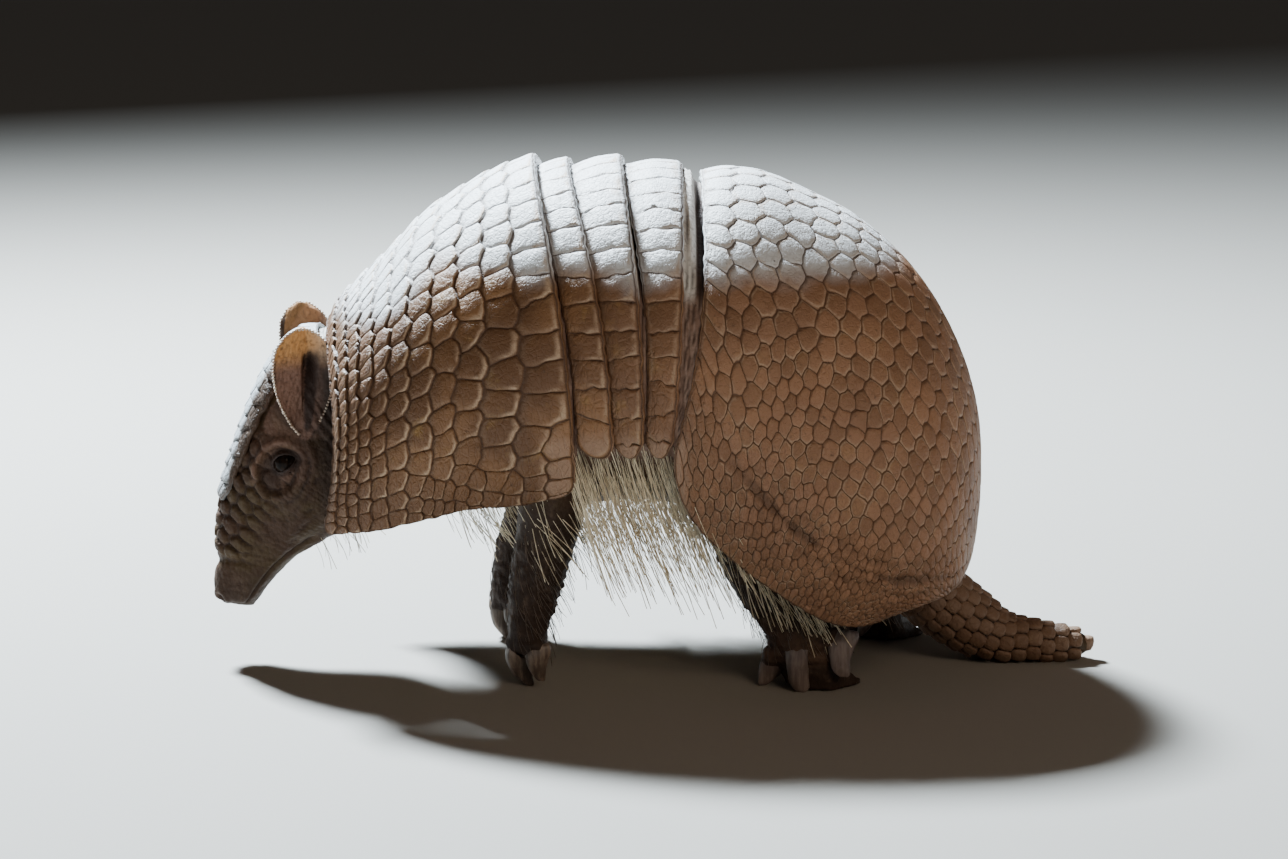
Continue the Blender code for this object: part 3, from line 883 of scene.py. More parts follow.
    def build(self, finish: Material, relief: "ScuteRelief") -> Piece:
        """Makes the plate's object.

        Args:
            finish: its material.
            relief: raises the scutes out of the smooth sheet.

        Returns:
            The finished piece.
        """
        flat, kept, (quads, tris), shared = self._build_cells()
        loop = self._loop(flat[:shared])
        flat = self.shape(self._bend(flat))
        base = self.surface(*flat.T)
        out = outward(self.surface, *flat.T)
        dent = self.dent(base)
        base -= out * dent[:, None]
        relief_share = np.ones(len(flat))
        relief_share[loop] = 0.25
        travel = np.roll(base[loop], -1, axis=0) - np.roll(base[loop], 1, axis=0)
        aside = unit(np.cross(travel, out[loop]))
        base[loop] += aside * (self._scallops(flat[loop]) * self.scallop)[:, None]
        points, outs, walls = [base], [out], []
        previous, total, after = loop, len(base), np.roll(np.arange(len(loop)), -1)
        for push, drop in ((0.16, 0.30), (0.16, 0.72), (-0.25, 1.0)):
            points.append(base[loop] + aside * push * self.thickness - out[loop] * drop * self.thickness)
            outs.append(aside)
            here = total + np.arange(len(loop))
            walls.append(rowwise(previous, here, here[after], previous[after]))
            total, previous = total + len(loop), here
        inner_points, inner_tris = self._lining(flat[loop], total - len(loop))
        points.append(inner_points)
        outs.append(np.zeros_like(inner_points))
        mesh = make_mesh(self.name, np.vstack(points), [quads, np.vstack(walls), tris, inner_tris])
        store(mesh, "out", np.vstack(outs))
        kept.update(lean_share=self.lean(flat), relief=relief_share, dent=dent,
                    fine=rise(0.62, 0.92, np.abs(flat[:, 1]) / self.layout.half))
        rest = {"inside": 0.5, "tone": 0.5, "size": 2.0}
        for key, values in kept.items():
            beyond = np.full(len(mesh.vertices) - len(flat), rest.get(key, 0.0))
            store(mesh, key, np.concatenate((values, beyond)))
        return relief.apply(add_object(self.name, mesh, finish), finish)

    def _scallops(self, loop: Array) -> Array:
        """How far the rim swells at each of its points, from 0 to 1."""
        return 0.5 + 0.5 * ripple(loop, 3.2, 9)

    def _lining(self, loop: Array, first: int) -> tuple[Array, Array]:
        """The plate's inner side: new points, and triangles that join them to the last ring.

        Args:
            loop: the plate's border on the unrolled surface.
            first: number of the last ring's first point.

        Returns:
            The points and the triangles.
        """
        length, half = self.layout.length, self.layout.half
        s, t = np.meshgrid(np.arange(3.0, length - 2.0, 7.0), np.arange(-half + 4, half - 3, 7.0))
        flat = np.vstack((loop, self.shape(rowwise(s.ravel(), t.ravel()))))
        count = len(loop)
        edges = [(i, (i + 1) % count) for i in range(count)]
        found = delaunay_2d_cdt([Vector(p) for p in flat], edges, [], 1, 1e-6)
        order = np.array([source[0] if source else -1 for source in found[3]])
        triangles = np.array([f for f in found[2] if len(f) == 3 and all(order[k] >= 0 for k in f)])
        corners = np.array([tuple(v) for v in found[0]])[triangles]
        numbers = order[triangles]
        turned = np.cross(corners[:, 1] - corners[:, 0], corners[:, 2] - corners[:, 0]) > 0
        numbers[turned] = numbers[turned][:, ::-1]
        inner = self.surface(*flat[count:].T) - outward(self.surface, *flat[count:].T) * self.thickness
        return inner, numbers + first


class ScuteRelief(PieceTree):
    """The node tree that raises scutes out of a smooth sheet."""

    name = "scute_relief"
    sizes = {"groove_depth": 0.00046, "crown_height": 0.085, "lean_height": 0.0006,
             "wrinkle_height": 0.00026, "wrinkle_size": 0.0019}

    def wire(self, g: Graph, given: dict[str, Num]) -> Num:
        """Lays the nodes that move each point out along its own direction.

        Args:
            g: the tree's graph.
            given: the tree's inputs by name.

        Returns:
            The shaped geometry.
        """
        inside, lean, size, share, relief, fine = (g.kept(name) for name in (
            "inside", "lean", "size", "lean_share", "relief", "fine"))
        place = g.out("GeometryNodeInputPosition")
        sunk = 1.0 - g.rise(inside, 0.0, 0.10)
        groove = sunk * given["groove_depth"] * -1.0
        crown = (1.0 - (1.0 - inside) ** 2.0) * given["crown_height"] * size * MM
        slope = lean * share * given["lean_height"]
        bumps = g.out("ShaderNodeTexNoise", {"Vector": place, "Detail": 3.0, "Roughness": 0.6,
                                             "Scale": 1.0 / given["wrinkle_size"]})
        bumps = (bumps - 0.5) * (0.8 + fine * 1.6) * given["wrinkle_height"]
        height = (groove + crown + (slope + bumps)) * relief
        step = g.scaled(g.kept("out", "FLOAT_VECTOR"), height)
        return g.out("GeometryNodeSetPosition", {"Geometry": given["Geometry"], "Offset": step})


# --- head ---
# Section of head and neck: brow line x, z; throat line x, z; half width.
HEAD_SECTIONS: Rows = (
    (-106.6, 15.4, -99.0, 14.2, 3.6),
    (-108.0, 17.4, -97.3, 16.2, 5.4),
    (-108.2, 22.0, -94.6, 19.8, 6.0),
    (-107.4, 30.0, -90.4, 24.4, 7.2),
    (-106.6, 38.0, -85.4, 28.2, 9.0),
    (-104.6, 46.0, -80.0, 31.4, 11.6),
    (-101.7, 54.6, -75.5, 34.0, 14.0),
    (-98.0, 64.4, -72.0, 38.0, 15.2),
    (-93.4, 73.8, -69.5, 43.0, 15.2),
    (-87.4, 81.2, -67.6, 50.0, 14.6),
    (-80.8, 82.8, -66.0, 58.0, 13.8),
    (-76.1, 85.4, -64.7, 54.7, 19.0),
    (-69.2, 89.2, -62.8, 49.9, 26.6),
    (-60.3, 94.1, -60.3, 43.8, 36.5),
    (-50.0, 97.0, -52.0, 43.2, 38.0),
)


@dataclass
class Eye:
    """Where one eye sits: its centre, the way it looks and the directions across its opening."""

    centre: Array
    out: Array
    towards_nose: Array
    towards_brow: Array


@dataclass
class HeadForm:
    """The smooth form of head and neck, by place along it and degrees round from the brow line."""

    squareness: float = 0.86
    eye_place: float = 6.66
    eye_angle: float = 77.0
    eye_sink: float = 2.3

    def points(self, places: Array, degrees: Array) -> Array:
        """Points on the skin.

        Args:
            places: how far along the head, in sections.
            degrees: how far round from the brow line.

        Returns:
            Points in millimetres, one a row.
        """
        brow_x, brow_z, throat_x, throat_z, half_width = through(HEAD_SECTIONS, places).T
        c, s = np.cos(np.radians(degrees)), np.sin(np.radians(degrees))
        up, side = (np.sign(w) * np.abs(w) ** self.squareness for w in (c, s))
        x = (brow_x + throat_x) / 2 + (brow_x - throat_x) / 2 * up
        z = (brow_z + throat_z) / 2 + (brow_z - throat_z) / 2 * up
        return rowwise(x, half_width * side, z)

    def normals(self, places: Array, degrees: Array) -> Array:
        """Unit vectors straight out of the skin.

        Args:
            places: how far along the head, in sections.
            degrees: how far round from the brow line.

        Returns:
            One vector a row.
        """
        along = self.points(places + 0.04, degrees) - self.points(places - 0.04, degrees)
        across = self.points(places, degrees + 2) - self.points(places, degrees - 2)
        found = unit(np.cross(along, across))
        middle = self.points(places, 0 * degrees) + self.points(places, 0 * degrees + 180)
        away = np.einsum("ij,ij->i", found, self.points(places, degrees) - middle / 2)
        return found * np.where(away < 0, -1.0, 1.0)[:, None]

    def eye(self, side: int) -> Eye:
        """The eye of one side.

        Args:
            side: -1 for the left, 1 for the right.

        Returns:
            The eye.
        """
        place, angle = np.array([self.eye_place]), np.array([side * self.eye_angle])
        out = self.normals(place, angle)[0]
        spot = self.points(place, angle)[0]
        nose = self.points(place - 0.3, angle)[0] - spot
        nose = unit(nose - out * (nose @ out))
        brow = np.cross(out, nose)
        if brow @ (self.points(place, angle * 0.8)[0] - spot) < 0:
            brow = -brow
        return Eye(spot - out * self.eye_sink, out, nose, brow)


def spaced(start: float, end: float, spacing: Callable[[float], float]) -> Array:
    """Places from `start` to `end` whose steps follow `spacing`, stretched to end exactly.

    Args:
        start: the first place.
        end: the last place.
        spacing: the step wanted at a place.

    Returns:
        The places.
    """
    found = [start]
    while found[-1] < end:
        found.append(found[-1] + spacing(found[-1]))
    values = np.array(found)
    return start + (values - start) * (end - start) / (values[-1] - start)


@dataclass
class HeadSkin:
    """The head's skin: muzzle scales, nose, mouth, eye sockets with lids, and cheek folds."""

    form: HeadForm = field(default_factory=HeadForm)
    eye_radius: float = 3.2
    opening: tuple[float, float] = (3.0, 1.75)
    opening_turn: float = 31.0
    lid_thick: float = 0.5
    socket_radius: float = 5.9
    socket_drop: float = 2.2
    socket_stretch: float = 1.25

    def build(self) -> Mesh:
        """Makes the closed skin of head and neck.

        Returns:
            The mesh.
        """
        rows = spaced(0.0, len(HEAD_SECTIONS) - 1.0, self._row_step)
        turns = spaced(0.0, 180.0, self._turn_step)
        turns = np.concatenate((turns, 360.0 - turns[-2:0:-1]))
        place, degrees = pairs(rows, turns)
        degrees = np.where(degrees > 180, degrees - 360, degrees)
        points = self.form.points(place, degrees)
        normals = self.form.normals(place, degrees)
        height = self._muzzle_scales(place, degrees)
        height += self._nose_and_mouth(place, degrees, points)
        height += self._wrinkles(place, degrees, points)
        points = points + normals * height[:, None]
        for side in (-1, 1):
            points = self._socket(points, self.form.eye(side))
        count, last = len(turns), len(points)
        ends = np.array([points[:count].mean(0) - (0.0, 0.0, 0.5), points[-count:].mean(0)])
        i = np.arange(count)
        after = np.roll(i, -1)
        front = rowwise(np.full(count, last), i, after)
        back = rowwise(after + last - count, i + last - count, np.full(count, last + 1))
        faces = [grid_faces(len(rows), count, closed=True)[:, ::-1], front, back]
        return make_mesh("head_skin", np.vstack((points, ends)), faces)

    def _row_step(self, place: float) -> float:
        """Spacing of rings: close round the eye, wide on the hidden neck.

        Args:
            place: how far along the head, in sections.

        Returns:
            The spacing, in sections.
        """
        if place > 10.0:
            return 0.20
        near = math.exp(-((place - self.form.eye_place) / 0.42) ** 2)
        return 0.066 - 0.041 * near

    def _turn_step(self, degrees: float) -> float:
        """Spacing of points round a ring: close round the eye."""
        near = math.exp(-((degrees - self.form.eye_angle) / 15.0) ** 2)
        return 2.2 - 1.35 * near + 1.3 * max(0.0, (degrees - 120.0) / 60.0)

    def _muzzle_scales(self, place: Array, degrees: Array) -> Array:
        """Round scales down the muzzle and smaller ones over the cheek.

        Args:
            place: how far along the head, in sections.
            degrees: how far round from the brow line.

        Returns:
            How far each point is raised.
        """
        along = np.interp(place, np.arange(15), np.cumsum([0, 2.4, 4.7, 8, 8, 8.2, 9.1, 10.5, 10.5, 9.5, 6.8,
                                                         5, 8, 10, 9]))
        round_it = np.radians(degrees) * through(HEAD_SECTIONS, place)[:, 4]
        flat = rowwise(along, round_it)
        large = self._domes(flat, 4.3, 31) * hill(place, 2.5, 3.1, 6.0, 7.2)
        large *= rise(100, 72, np.abs(degrees))
        small = self._domes(flat, 2.1, 32) * hill(place, 2.2, 3.0, 8.2, 9.6)
        small *= hill(np.abs(degrees), 70, 98, 120, 150)
        return 1.08 * large + 0.16 * small

    def _domes(self, flat: Array, size: float, seed: int) -> Array:
        """Close-set rounded bumps, from 0 in the creases to 1 on top.

        Args:
            flat: places on the unrolled surface.
            size: millimetres from bump to bump.
            seed: fixes what is random.

        Returns:
            One number for each place.
        """
        rng = np.random.default_rng(seed)
        low, high = flat.min(0) - size, flat.max(0) + size
        spots = np.array([(u, v) for r, u in enumerate(np.arange(low[0], high[0], size * 0.87))
                          for v in np.arange(low[1] + (r % 2) * size / 2, high[1], size)])
        spots = spots + rng.uniform(-0.16, 0.16, spots.shape) * size
        nearest, second = np.full((2, len(flat)), 9e9)
        for spot in spots:
            close = np.abs(flat[:, 0] - spot[0]) < 2 * size
            gap = apart(flat[close], spot)
            first = nearest[close]
            second[close] = np.minimum(np.maximum(gap, first), second[close])
            nearest[close] = np.minimum(gap, first)
        edge = (second - nearest) / size
        return rise(0.0, 0.42, edge) * (0.75 + 0.25 * (1 - (nearest / size) ** 2))

    def _nose_and_mouth(self, place: Array, degrees: Array, points: Array) -> Array:
        """The crease over the nose pad, the nostrils and the line of the mouth.

        Args:
            place: how far along the head, in sections.
            degrees: how far round from the brow line.
            points: places in millimetres, one a row.

        Returns:
            How far each point is raised.
        """
        turn = np.abs(degrees)
        crease = bell(place - 2.45 - 0.004 * turn, 0.16) * rise(118, 84, turn)
        pad = rise(2.4, 1.6, place) * rise(0.1, 0.9, place) * rise(110, 60, turn)
        height = 0.45 * pad - 0.75 * crease
        for side in (-1, 1):
            spot = self.form.points(np.array([0.75]), np.array([side * 44.0]))[0]
            gap = apart(points, spot)
            height += 0.35 * bell(gap - 1.9, 0.6) - 1.9 * rise(1.35, 0.5, gap)
        line = 118 + 5.0 * place
        mouth = bell(turn - line, 4.2) * hill(place, 0.3, 0.8, 4.4, 5.2)
        lip = bell(turn - line + 13, 8.0) * hill(place, 0.3, 0.8, 4.0, 5.2)
        return height - 0.75 * mouth + 0.3 * lip

    def _wrinkles(self, place: Array, degrees: Array, points: Array) -> Array:
        """Loose skin: soft lumps everywhere and folds behind the jaw and on the neck.

        Args:
            place: how far along the head, in sections.
            degrees: how far round from the brow line.
            points: places in millimetres, one a row.

        Returns:
            How far each point is raised.
        """
        lumps = ripple(points, 5.0, 41) * 0.10 + ripple(points, 1.9, 42) * 0.07
        cheek = hill(place, 3.0, 4.4, 7.4, 8.6) * rise(76, 100, np.abs(degrees))
        creases = np.sin(np.radians(degrees) * 9.0 + ripple(points, 11.0, 45) * 2.4) * 0.34
        lumps += cheek * (creases + ripple(points, 3.2, 46) * 0.22)
        jaw = np.sin(place * 21.0 + np.radians(degrees) * 2.0 + ripple(points, 12.0, 43) * 1.6)
        folds = jaw * 0.28 * rise(7.6, 8.8, place) * rise(48, 80, np.abs(degrees))
        neck = np.sin(place * 13.0 + ripple(points, 9.0, 44)) * 0.35 * rise(9.6, 10.4, place)
        return lumps + folds + neck

    def opening_share(self, a: Array, b: Array) -> Array:
        """How far a point is across the slanting eye opening: 1 on the lids' edges.

        Args:
            a: millimetres from the eye's middle towards the nose.
            b: millimetres from the eye's middle towards the brow.

        Returns:
            One number for each point.
        """
        spin = math.radians(self.opening_turn)
        u, v = a * math.cos(spin) + b * math.sin(spin), b * math.cos(spin) - a * math.sin(spin)
        return np.hypot(u / self.opening[0], (v + 0.05 * u * u) / self.opening[1])

    def socket_ring(self, a: Array, b: Array) -> tuple[Array, Array, Array]:
        """Distance and angle from the long socket's middle, and how strong its front fold is.

        Args:
            a: millimetres from the eye's middle towards the nose.
            b: millimetres from the eye's middle towards the brow.

        Returns:
            Distances, angles and the fold's strength.
        """
        reach = np.hypot((a - self.socket_drop) / self.socket_stretch, b)
        angle = np.arctan2(b, a - self.socket_drop)
        return reach, angle, 0.08 + 0.92 * rise(-0.05, 0.65, np.cos(angle - math.radians(112)))

    def _socket(self, points: Array, eye: Eye) -> Array:
        """Sinks the socket and wraps the lids round the eyeball.

        Args:
            points: places in millimetres, one a row.
            eye: where the eye sits.

        Returns:
            The points, moved near the eye.
        """
        away = points - eye.centre
        a, b, h = away @ eye.towards_nose, away @ eye.towards_brow, away @ eye.out
        reach, angle, front_fold = self.socket_ring(a, b)
        close = (reach < self.socket_radius * 1.9) & (h > -2.0)
        ring = bell(reach - self.socket_radius, 1.0)
        back_fold = 0.75 * rise(0.1, 0.8, np.cos(angle - math.radians(262)))
        sink = -1.35 * rise(self.socket_radius, self.socket_radius * 0.6, reach)
        crow = 0.12 * np.sin(reach * 6.2 + 1.3 * np.sin(angle * 3)) * bell(reach - 4.4, 1.3)
        cheek = bell(reach - self.socket_radius - 2.4, 0.7) * back_fold
        h_new = h + (ring * np.maximum(front_fold, back_fold) * 1.3 + sink + crow + cheek * 0.9)
        share = self.opening_share(a, b)
        snap = np.abs(share - 1) < 0.07
        scale = np.where(snap, 1 / np.maximum(share, 1e-6), 1.0)
        a, b, share = a * scale, b * scale, np.where(snap, 1.0, share)
        ball = np.sqrt(np.maximum(self.eye_radius ** 2 - a * a - b * b, 0.2))
        lid = ball + 0.04 + self.lid_thick * rise(1.0, 1.22, share)
        inner = ball - 1.2 * rise(1.0, 0.8, share) + 0.04
        hugging = np.where(share < 1, inner, lid)
        blend = rise(1.95, 1.25, share)
        h_new = np.where(share < 1, hugging, h_new * (1 - blend) + hugging * blend)
        moved = eye.centre + (np.outer(a, eye.towards_nose) + np.outer(b, eye.towards_brow)
                              + np.outer(h_new, eye.out))
        return np.where(close[:, None], moved, points)


@dataclass
class EarForm:
    """One ear: a funnel with a broad front flap, a deep slot and a narrow rear rim."""

    side: int
    head: HeadForm = field(default_factory=HeadForm)
    section: float = 7.75
    angle: float = 84.0
    thick: float = 1.6
    cup: float = 2.1
    slot: float = 0.22
    slot_depth: float = 4.2
    slot_width: float = 0.27
    outline: Rows = ((0.0, 0.9), (0.10, 3.1), (0.24, 5.1), (0.41, 6.7), (0.62, 7.3), (0.82, 6.5), (0.94, 4.2),
                     (1.0, 1.5))

    def __post_init__(self) -> None:
        """Works out the ear's root and its own directions."""
        self.root = self.head.points(np.array([self.section]), np.array([self.side * self.angle]))[0]
        back = 0.01 if self.side < 0 else -0.12
        self.length = 27.4 if self.side < 0 else 28.4
        self.lean = unit(np.array([back, self.side * 0.20, 0.97]))
        self.across = unit(np.array([0.96, -self.side * 0.26, 0.0]))
        self.inward = np.cross(self.across, self.lean) * self.side

    def hollow(self, q: Array, offset: Array) -> Array:
        """Depth of the cup at `q` of the length and `offset` from front rim to rear rim.

        Args:
            q: shares of the ear's length.
            offset: from -1 at the front rim to 1 at the rear one.

        Returns:
            Millimetres.
        """
        front = np.clip((offset + 1) / (1 + self.slot), 0, 1) ** 0.75
        rear = np.clip((1 - offset) / (1 - self.slot), 0, 1) ** 0.75
        shape = np.where(offset < self.slot, front, rear)
        bowl = self.cup * (1.0 - 0.4 * rise(0.45, 1.0, q)) * shape
        gap = (offset - self.slot) / self.slot_width
        deep = rise(1.0, 0.25, np.abs(gap)) * rise(0.82, 0.62, q) * rise(0.02, 0.18, q)
        return bowl + self.slot_depth * deep

    def half_width(self, q: Array) -> Array:
        """Half the ear's width at `q` of its length.

        Args:
            q: shares of the ear's length.

        Returns:
            Millimetres.
        """
        shares = np.array([row[0] for row in self.outline])
        places = np.interp(q, shares, np.arange(len(shares)))
        return through(self.outline, places)[:, 1]

    def point(self, q: Array, offset: Array, deep: Array) -> Array:
        """Points of the ear, `deep` millimetres behind the cup's face.

        Args:
            q: shares of the ear's length.
            offset: from -1 at the front rim to 1 at the rear one.
            deep: millimetres behind the cup's face.

        Returns:
            Points in millimetres, one a row.
        """
        across = self.half_width(q) * offset
        inward = self.hollow(q, offset) + deep
        return (self.root + np.outer(q * self.length, self.lean) + np.outer(across, self.across)
                + np.outer(inward, self.inward))

    def build(self) -> Mesh:
        """Makes the ear's closed mesh.

        Returns:
            The mesh.
        """
        q = np.concatenate((np.linspace(-0.10, 0.93, 66), np.linspace(0.945, 1.0, 6)))
        offset = np.concatenate((np.linspace(-1, 1, 42), np.linspace(1, -1, 42)[1:-1]))
        behind = np.concatenate((np.zeros(42), np.ones(40)))
        q_all, offset_all = pairs(q, offset)
        behind_all = np.tile(behind, len(q))
        rim = np.sqrt(np.clip(1 - offset_all ** 2, 0, 1))
        deep = behind_all * self.thick * (0.25 + 0.75 * rim) * (1 - 0.4 * rise(0.5, 1.0, q_all))
        points = self.point(np.maximum(q_all, 0), offset_all, deep)
        below = np.minimum(q_all, 0) * self.length
        points += np.outer(below, self.lean) - np.outer(below * 0.9, self.inward)
        rooted = rise(0.16, 0.0, q_all) * 1.6
        points += np.outer(rooted, self.inward)
        bumps = (ripple(points, 1.3, 51) * 0.14 + np.abs(ripple(points, 2.6, 52)) * 0.22) * (1 - behind_all)
        points += np.outer(bumps, self.inward)
        return flat_tube(f"ear_{self.side}", points, len(q))

    def rim_points(self, pitch: float) -> tuple[Array, Array]:
        """Places along the rim every `pitch` millimetres, and the way out of the ear there.

        Args:
            pitch: millimetres from place to place.

        Returns:
            The places and the directions.
        """
        q = np.concatenate((np.linspace(0.03, 1, 200), np.linspace(1, 0.03, 200)))
        offset = np.concatenate((np.full(200, -1.0), np.full(200, 1.0)))
        line = self.point(q, offset, np.full(400, self.thick * 0.12))
        travel = travelled(line)
        stops = np.arange(0, travel[-1], pitch)
        places = np.stack([np.interp(stops, travel, line[:, k]) for k in range(3)], -1)
        middle = self.root + self.lean * self.length * 0.5
        return places, unit(places - middle)


def outward_mesh(mesh: Mesh) -> Mesh:
    """Merges a closed mesh's doubles and points its faces outwards.

    Args:
        mesh: a closed mesh.

    Returns:
        The same mesh.
    """
    work = bmesh.new()
    work.from_mesh(mesh)
    bmesh.ops.remove_doubles(work, verts=work.verts, dist=0.00001)
    bmesh.ops.dissolve_degenerate(work, edges=work.edges, dist=0.000001)
    bmesh.ops.recalc_face_normals(work, faces=work.faces)
    work.to_mesh(mesh)
    work.free()
    return mesh


def flat_tube(name: str, points: Array, rows: int) -> Mesh:
    """A closed mesh from flattened rings, of which the first and last are filled from side to side.

    Args:
        name: its name.
        points: the rings' points in millimetres, ring by ring.
        rows: how many rings.

    Returns:
        The mesh.
    """
    count = len(points) // rows
    k = np.arange(count // 2 - 1)
    across = rowwise(k, k + 1, count - 2 - k, count - 1 - k)
    caps = np.vstack((across[:, ::-1], across + (rows - 1) * count))
    return outward_mesh(make_mesh(name, points, [grid_faces(rows, count, closed=True), caps]))


def box_of(node: str) -> Array:
    """The lowest and the highest corner of a node's box, in millimetres."""
    return np.array(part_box(node)) / MM


def toe_forms(foot: str, claw: str) -> list[Matrix]:
    """The fleshy toe that carries a claw and the cuff round the claw's root, as stretched balls.

    Args:
        foot: the foot's node.
        claw: the claw's node.

    Returns:
        The placements of the two balls.
    """
    foot_low, foot_high = box_of(foot)
    low, high = box_of(claw)
    tip = (low + high) / 2
    tip[2] = low[2] + 0.66 * (high[2] - low[2])
    anchor = (foot_low + foot_high) / 2
    anchor[2] = max(anchor[2], high[2] * 0.8)
    way = unit(tip - anchor)
    aside = unit(np.array([1.0, 0.0, 0.0]) - way * way[0])
    third = np.cross(way, aside)
    reach = np.linalg.norm(tip - anchor) / 2 + 0.9
    wide, thick = 0.50 * (high[0] - low[0]) + 0.2, 0.5 * (high[1] - low[1]) + 0.8
    middle = (tip + anchor) / 2
    columns = (aside * wide, third * thick, way * reach, middle)
    table = np.vstack((np.stack(columns, -1) * MM, (0, 0, 0, 1)))
    root = (low + high) / 2 + (anchor - (low + high) / 2) * (0.05, 0.10, 0.0)
    sleeve = 0.24 if "fore" in foot else 0.36
    root[2] = high[2] - (sleeve - 0.14) * (high[2] - low[2])
    semi = np.array([0.54, 0.56, sleeve]) * (high - low) + (0.3, 0.8, 0.4)
    cuff = Matrix.LocRotScale(Vector(root * MM), None, Vector(semi * MM))
    return [Matrix([tuple(row) for row in table]), cuff]


def merged_copy(name: str, nodes: list[str], grow: float = 0.0, toes: list[Matrix] | None = None,
                gap: float = 0.01) -> Piece:
    """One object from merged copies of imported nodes.

    Args:
        name: the object's name.
        nodes: which nodes to copy.
        grow: how far each copy is swollen, in millimetres.
        toes: stretched balls that are added.
        gap: points nearer than this many millimetres are merged.

    Returns:
        The object.
    """
    whole = bmesh.new()
    for node in nodes:
        part = bmesh.new()
        part.from_mesh(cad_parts[node].data)
        bmesh.ops.remove_doubles(part, verts=part.verts, dist=gap * MM)
        bmesh.ops.recalc_face_normals(part, faces=part.faces)
        part.normal_update()
        pushed = [v.co + v.normal * v.calc_shell_factor() * grow * MM for v in part.verts]
        for vert, place in zip(part.verts, pushed):
            vert.co = place
        held = bpy.data.meshes.new("held")
        part.to_mesh(held)
        part.free()
        whole.from_mesh(held)
        bpy.data.meshes.remove(held)
    for place in toes or []:
        bmesh.ops.create_uvsphere(whole, u_segments=18, v_segments=12, radius=1.0, matrix=place)
    mesh = bpy.data.meshes.new(name)
    whole.to_mesh(mesh)
    whole.free()
    return add_object(name, mesh)


def remeshed(piece: Piece, voxel: float, rounds: int) -> Piece:
    """Gives a piece an even skin of small faces and rounds off its facets.

    Args:
        piece: the piece.
        voxel: the size of the faces, in millimetres.
        rounds: how often it is smoothed.

    Returns:
        The same piece.
    """
    step = piece.modifiers.new("even_skin", "REMESH")
    step.mode, step.voxel_size = "VOXEL", voxel * MM
    soft = piece.modifiers.new("round_off", "SMOOTH")
    soft.factor, soft.iterations = 0.5, rounds
    return settle(piece)


def taken(parts: bpy.types.bpy_prop_collection, key: str, width: int = 3, kind: type = np.float32) -> Array:
    """A row of numbers read from each part of a mesh.

    Args:
        parts: the mesh's points, edges or corners.
        key: what to read.
        width: how many numbers each has.
        kind: the kind of number.

    Returns:
        One row for each part.
    """
    found = np.empty(len(parts) * width, kind)
    parts.foreach_get(key, found)
    return found.reshape(-1, width)


def coordinates(mesh: Mesh) -> Array:
    """A mesh's points in millimetres."""
    return taken(mesh.vertices, "co").astype(float) / MM


def normals_of(mesh: Mesh) -> Array:
    """A mesh's point normals."""
    return taken(mesh.vertex_normals, "vector").astype(float)


def move_points(mesh: Mesh, points: Array) -> None:
    """Puts a mesh's points at new places, given in millimetres."""
    mesh.vertices.foreach_set("co", (points * MM).astype(np.float32).reshape(-1))
    mesh.update()


def neighbour_mean(mesh: Mesh) -> Field:
    """A function that gives, for a row of numbers at each point of a mesh, the mean of its neighbours'.

    Args:
        mesh: the mesh.

    Returns:
        The function.
    """
    edges = taken(mesh.edges, "vertices", 2, np.int32)
    first, second = edges.T
    count = len(mesh.vertices)
    degree = np.maximum(np.bincount(edges.ravel(), minlength=count), 1)

    def mean(rows: Array) -> Array:
        """The mean of each point's neighbours.

        Args:
            rows: numbers for each point.

        Returns:
            As many numbers.
        """
        sums = [np.bincount(first, part[second], count) + np.bincount(second, part[first], count)
                for part in rows.T]
        return np.stack(sums, -1) / degree[:, None]
    return mean


@dataclass(frozen=True)
class SkinFold:
    """The strip of wrinkled skin between two plates of shell."""

    name: str
    front: Row
    rear: Row
    deep: float = 0.9
    thick: float = 2.2
    wrinkle: float = 0.35
    gully: float = 0.0
    steps_across: int = 112
    steps_along: int = 16

    def build(self, seed: int) -> Mesh:
        """Makes the strip's closed mesh, running from edge to edge under both plates.

        Args:
            seed: fixes what is random.

        Returns:
            The mesh.
        """
        shares = np.linspace(-0.97, 0.97, self.steps_across)
        spans = np.linspace(-0.30, 1.30, self.steps_along)
        share_all, span_all = pairs(shares, spans)
        rows = np.asarray((self.front, self.rear), float)
        mixed = rows[0] + (rows[1] - rows[0]) * span_all[:, None]
        points = arch_points(mixed, share_all)
        out = unit(rowwise(np.zeros(len(points)), points[:, 1] / mixed[:, 4] ** 2 * 50,
                           (points[:, 2] - 70) / 50 ** 2 * 50))
        x = points[:, 0]
        drift = ripple(points * (0.5, 0.12, 0.12), 3.0, seed) * 1.2
        pleats = np.sin(x * 5.4 + drift * 2.0) * 0.6 + np.sin(x * 9.7 + drift * 3.1) * 0.4
        sag = 0.55 * np.sin(math.pi * np.clip(span_all, 0, 1))
        sag = sag + self.gully * rise(0.45, 0.72, span_all) * rise(0.62, 0.36, np.abs(share_all))
        top = points - out * (self.deep + sag - pleats * self.wrinkle)[:, None]
        bottom = points - out * (self.deep + self.thick + 0.6)
        top, bottom = (side.reshape(len(shares), len(spans), 3) for side in (top, bottom))
        rings = np.concatenate((top, bottom[:, ::-1]), axis=1)
        return flat_tube(self.name, rings.reshape(-1, 3), len(shares))


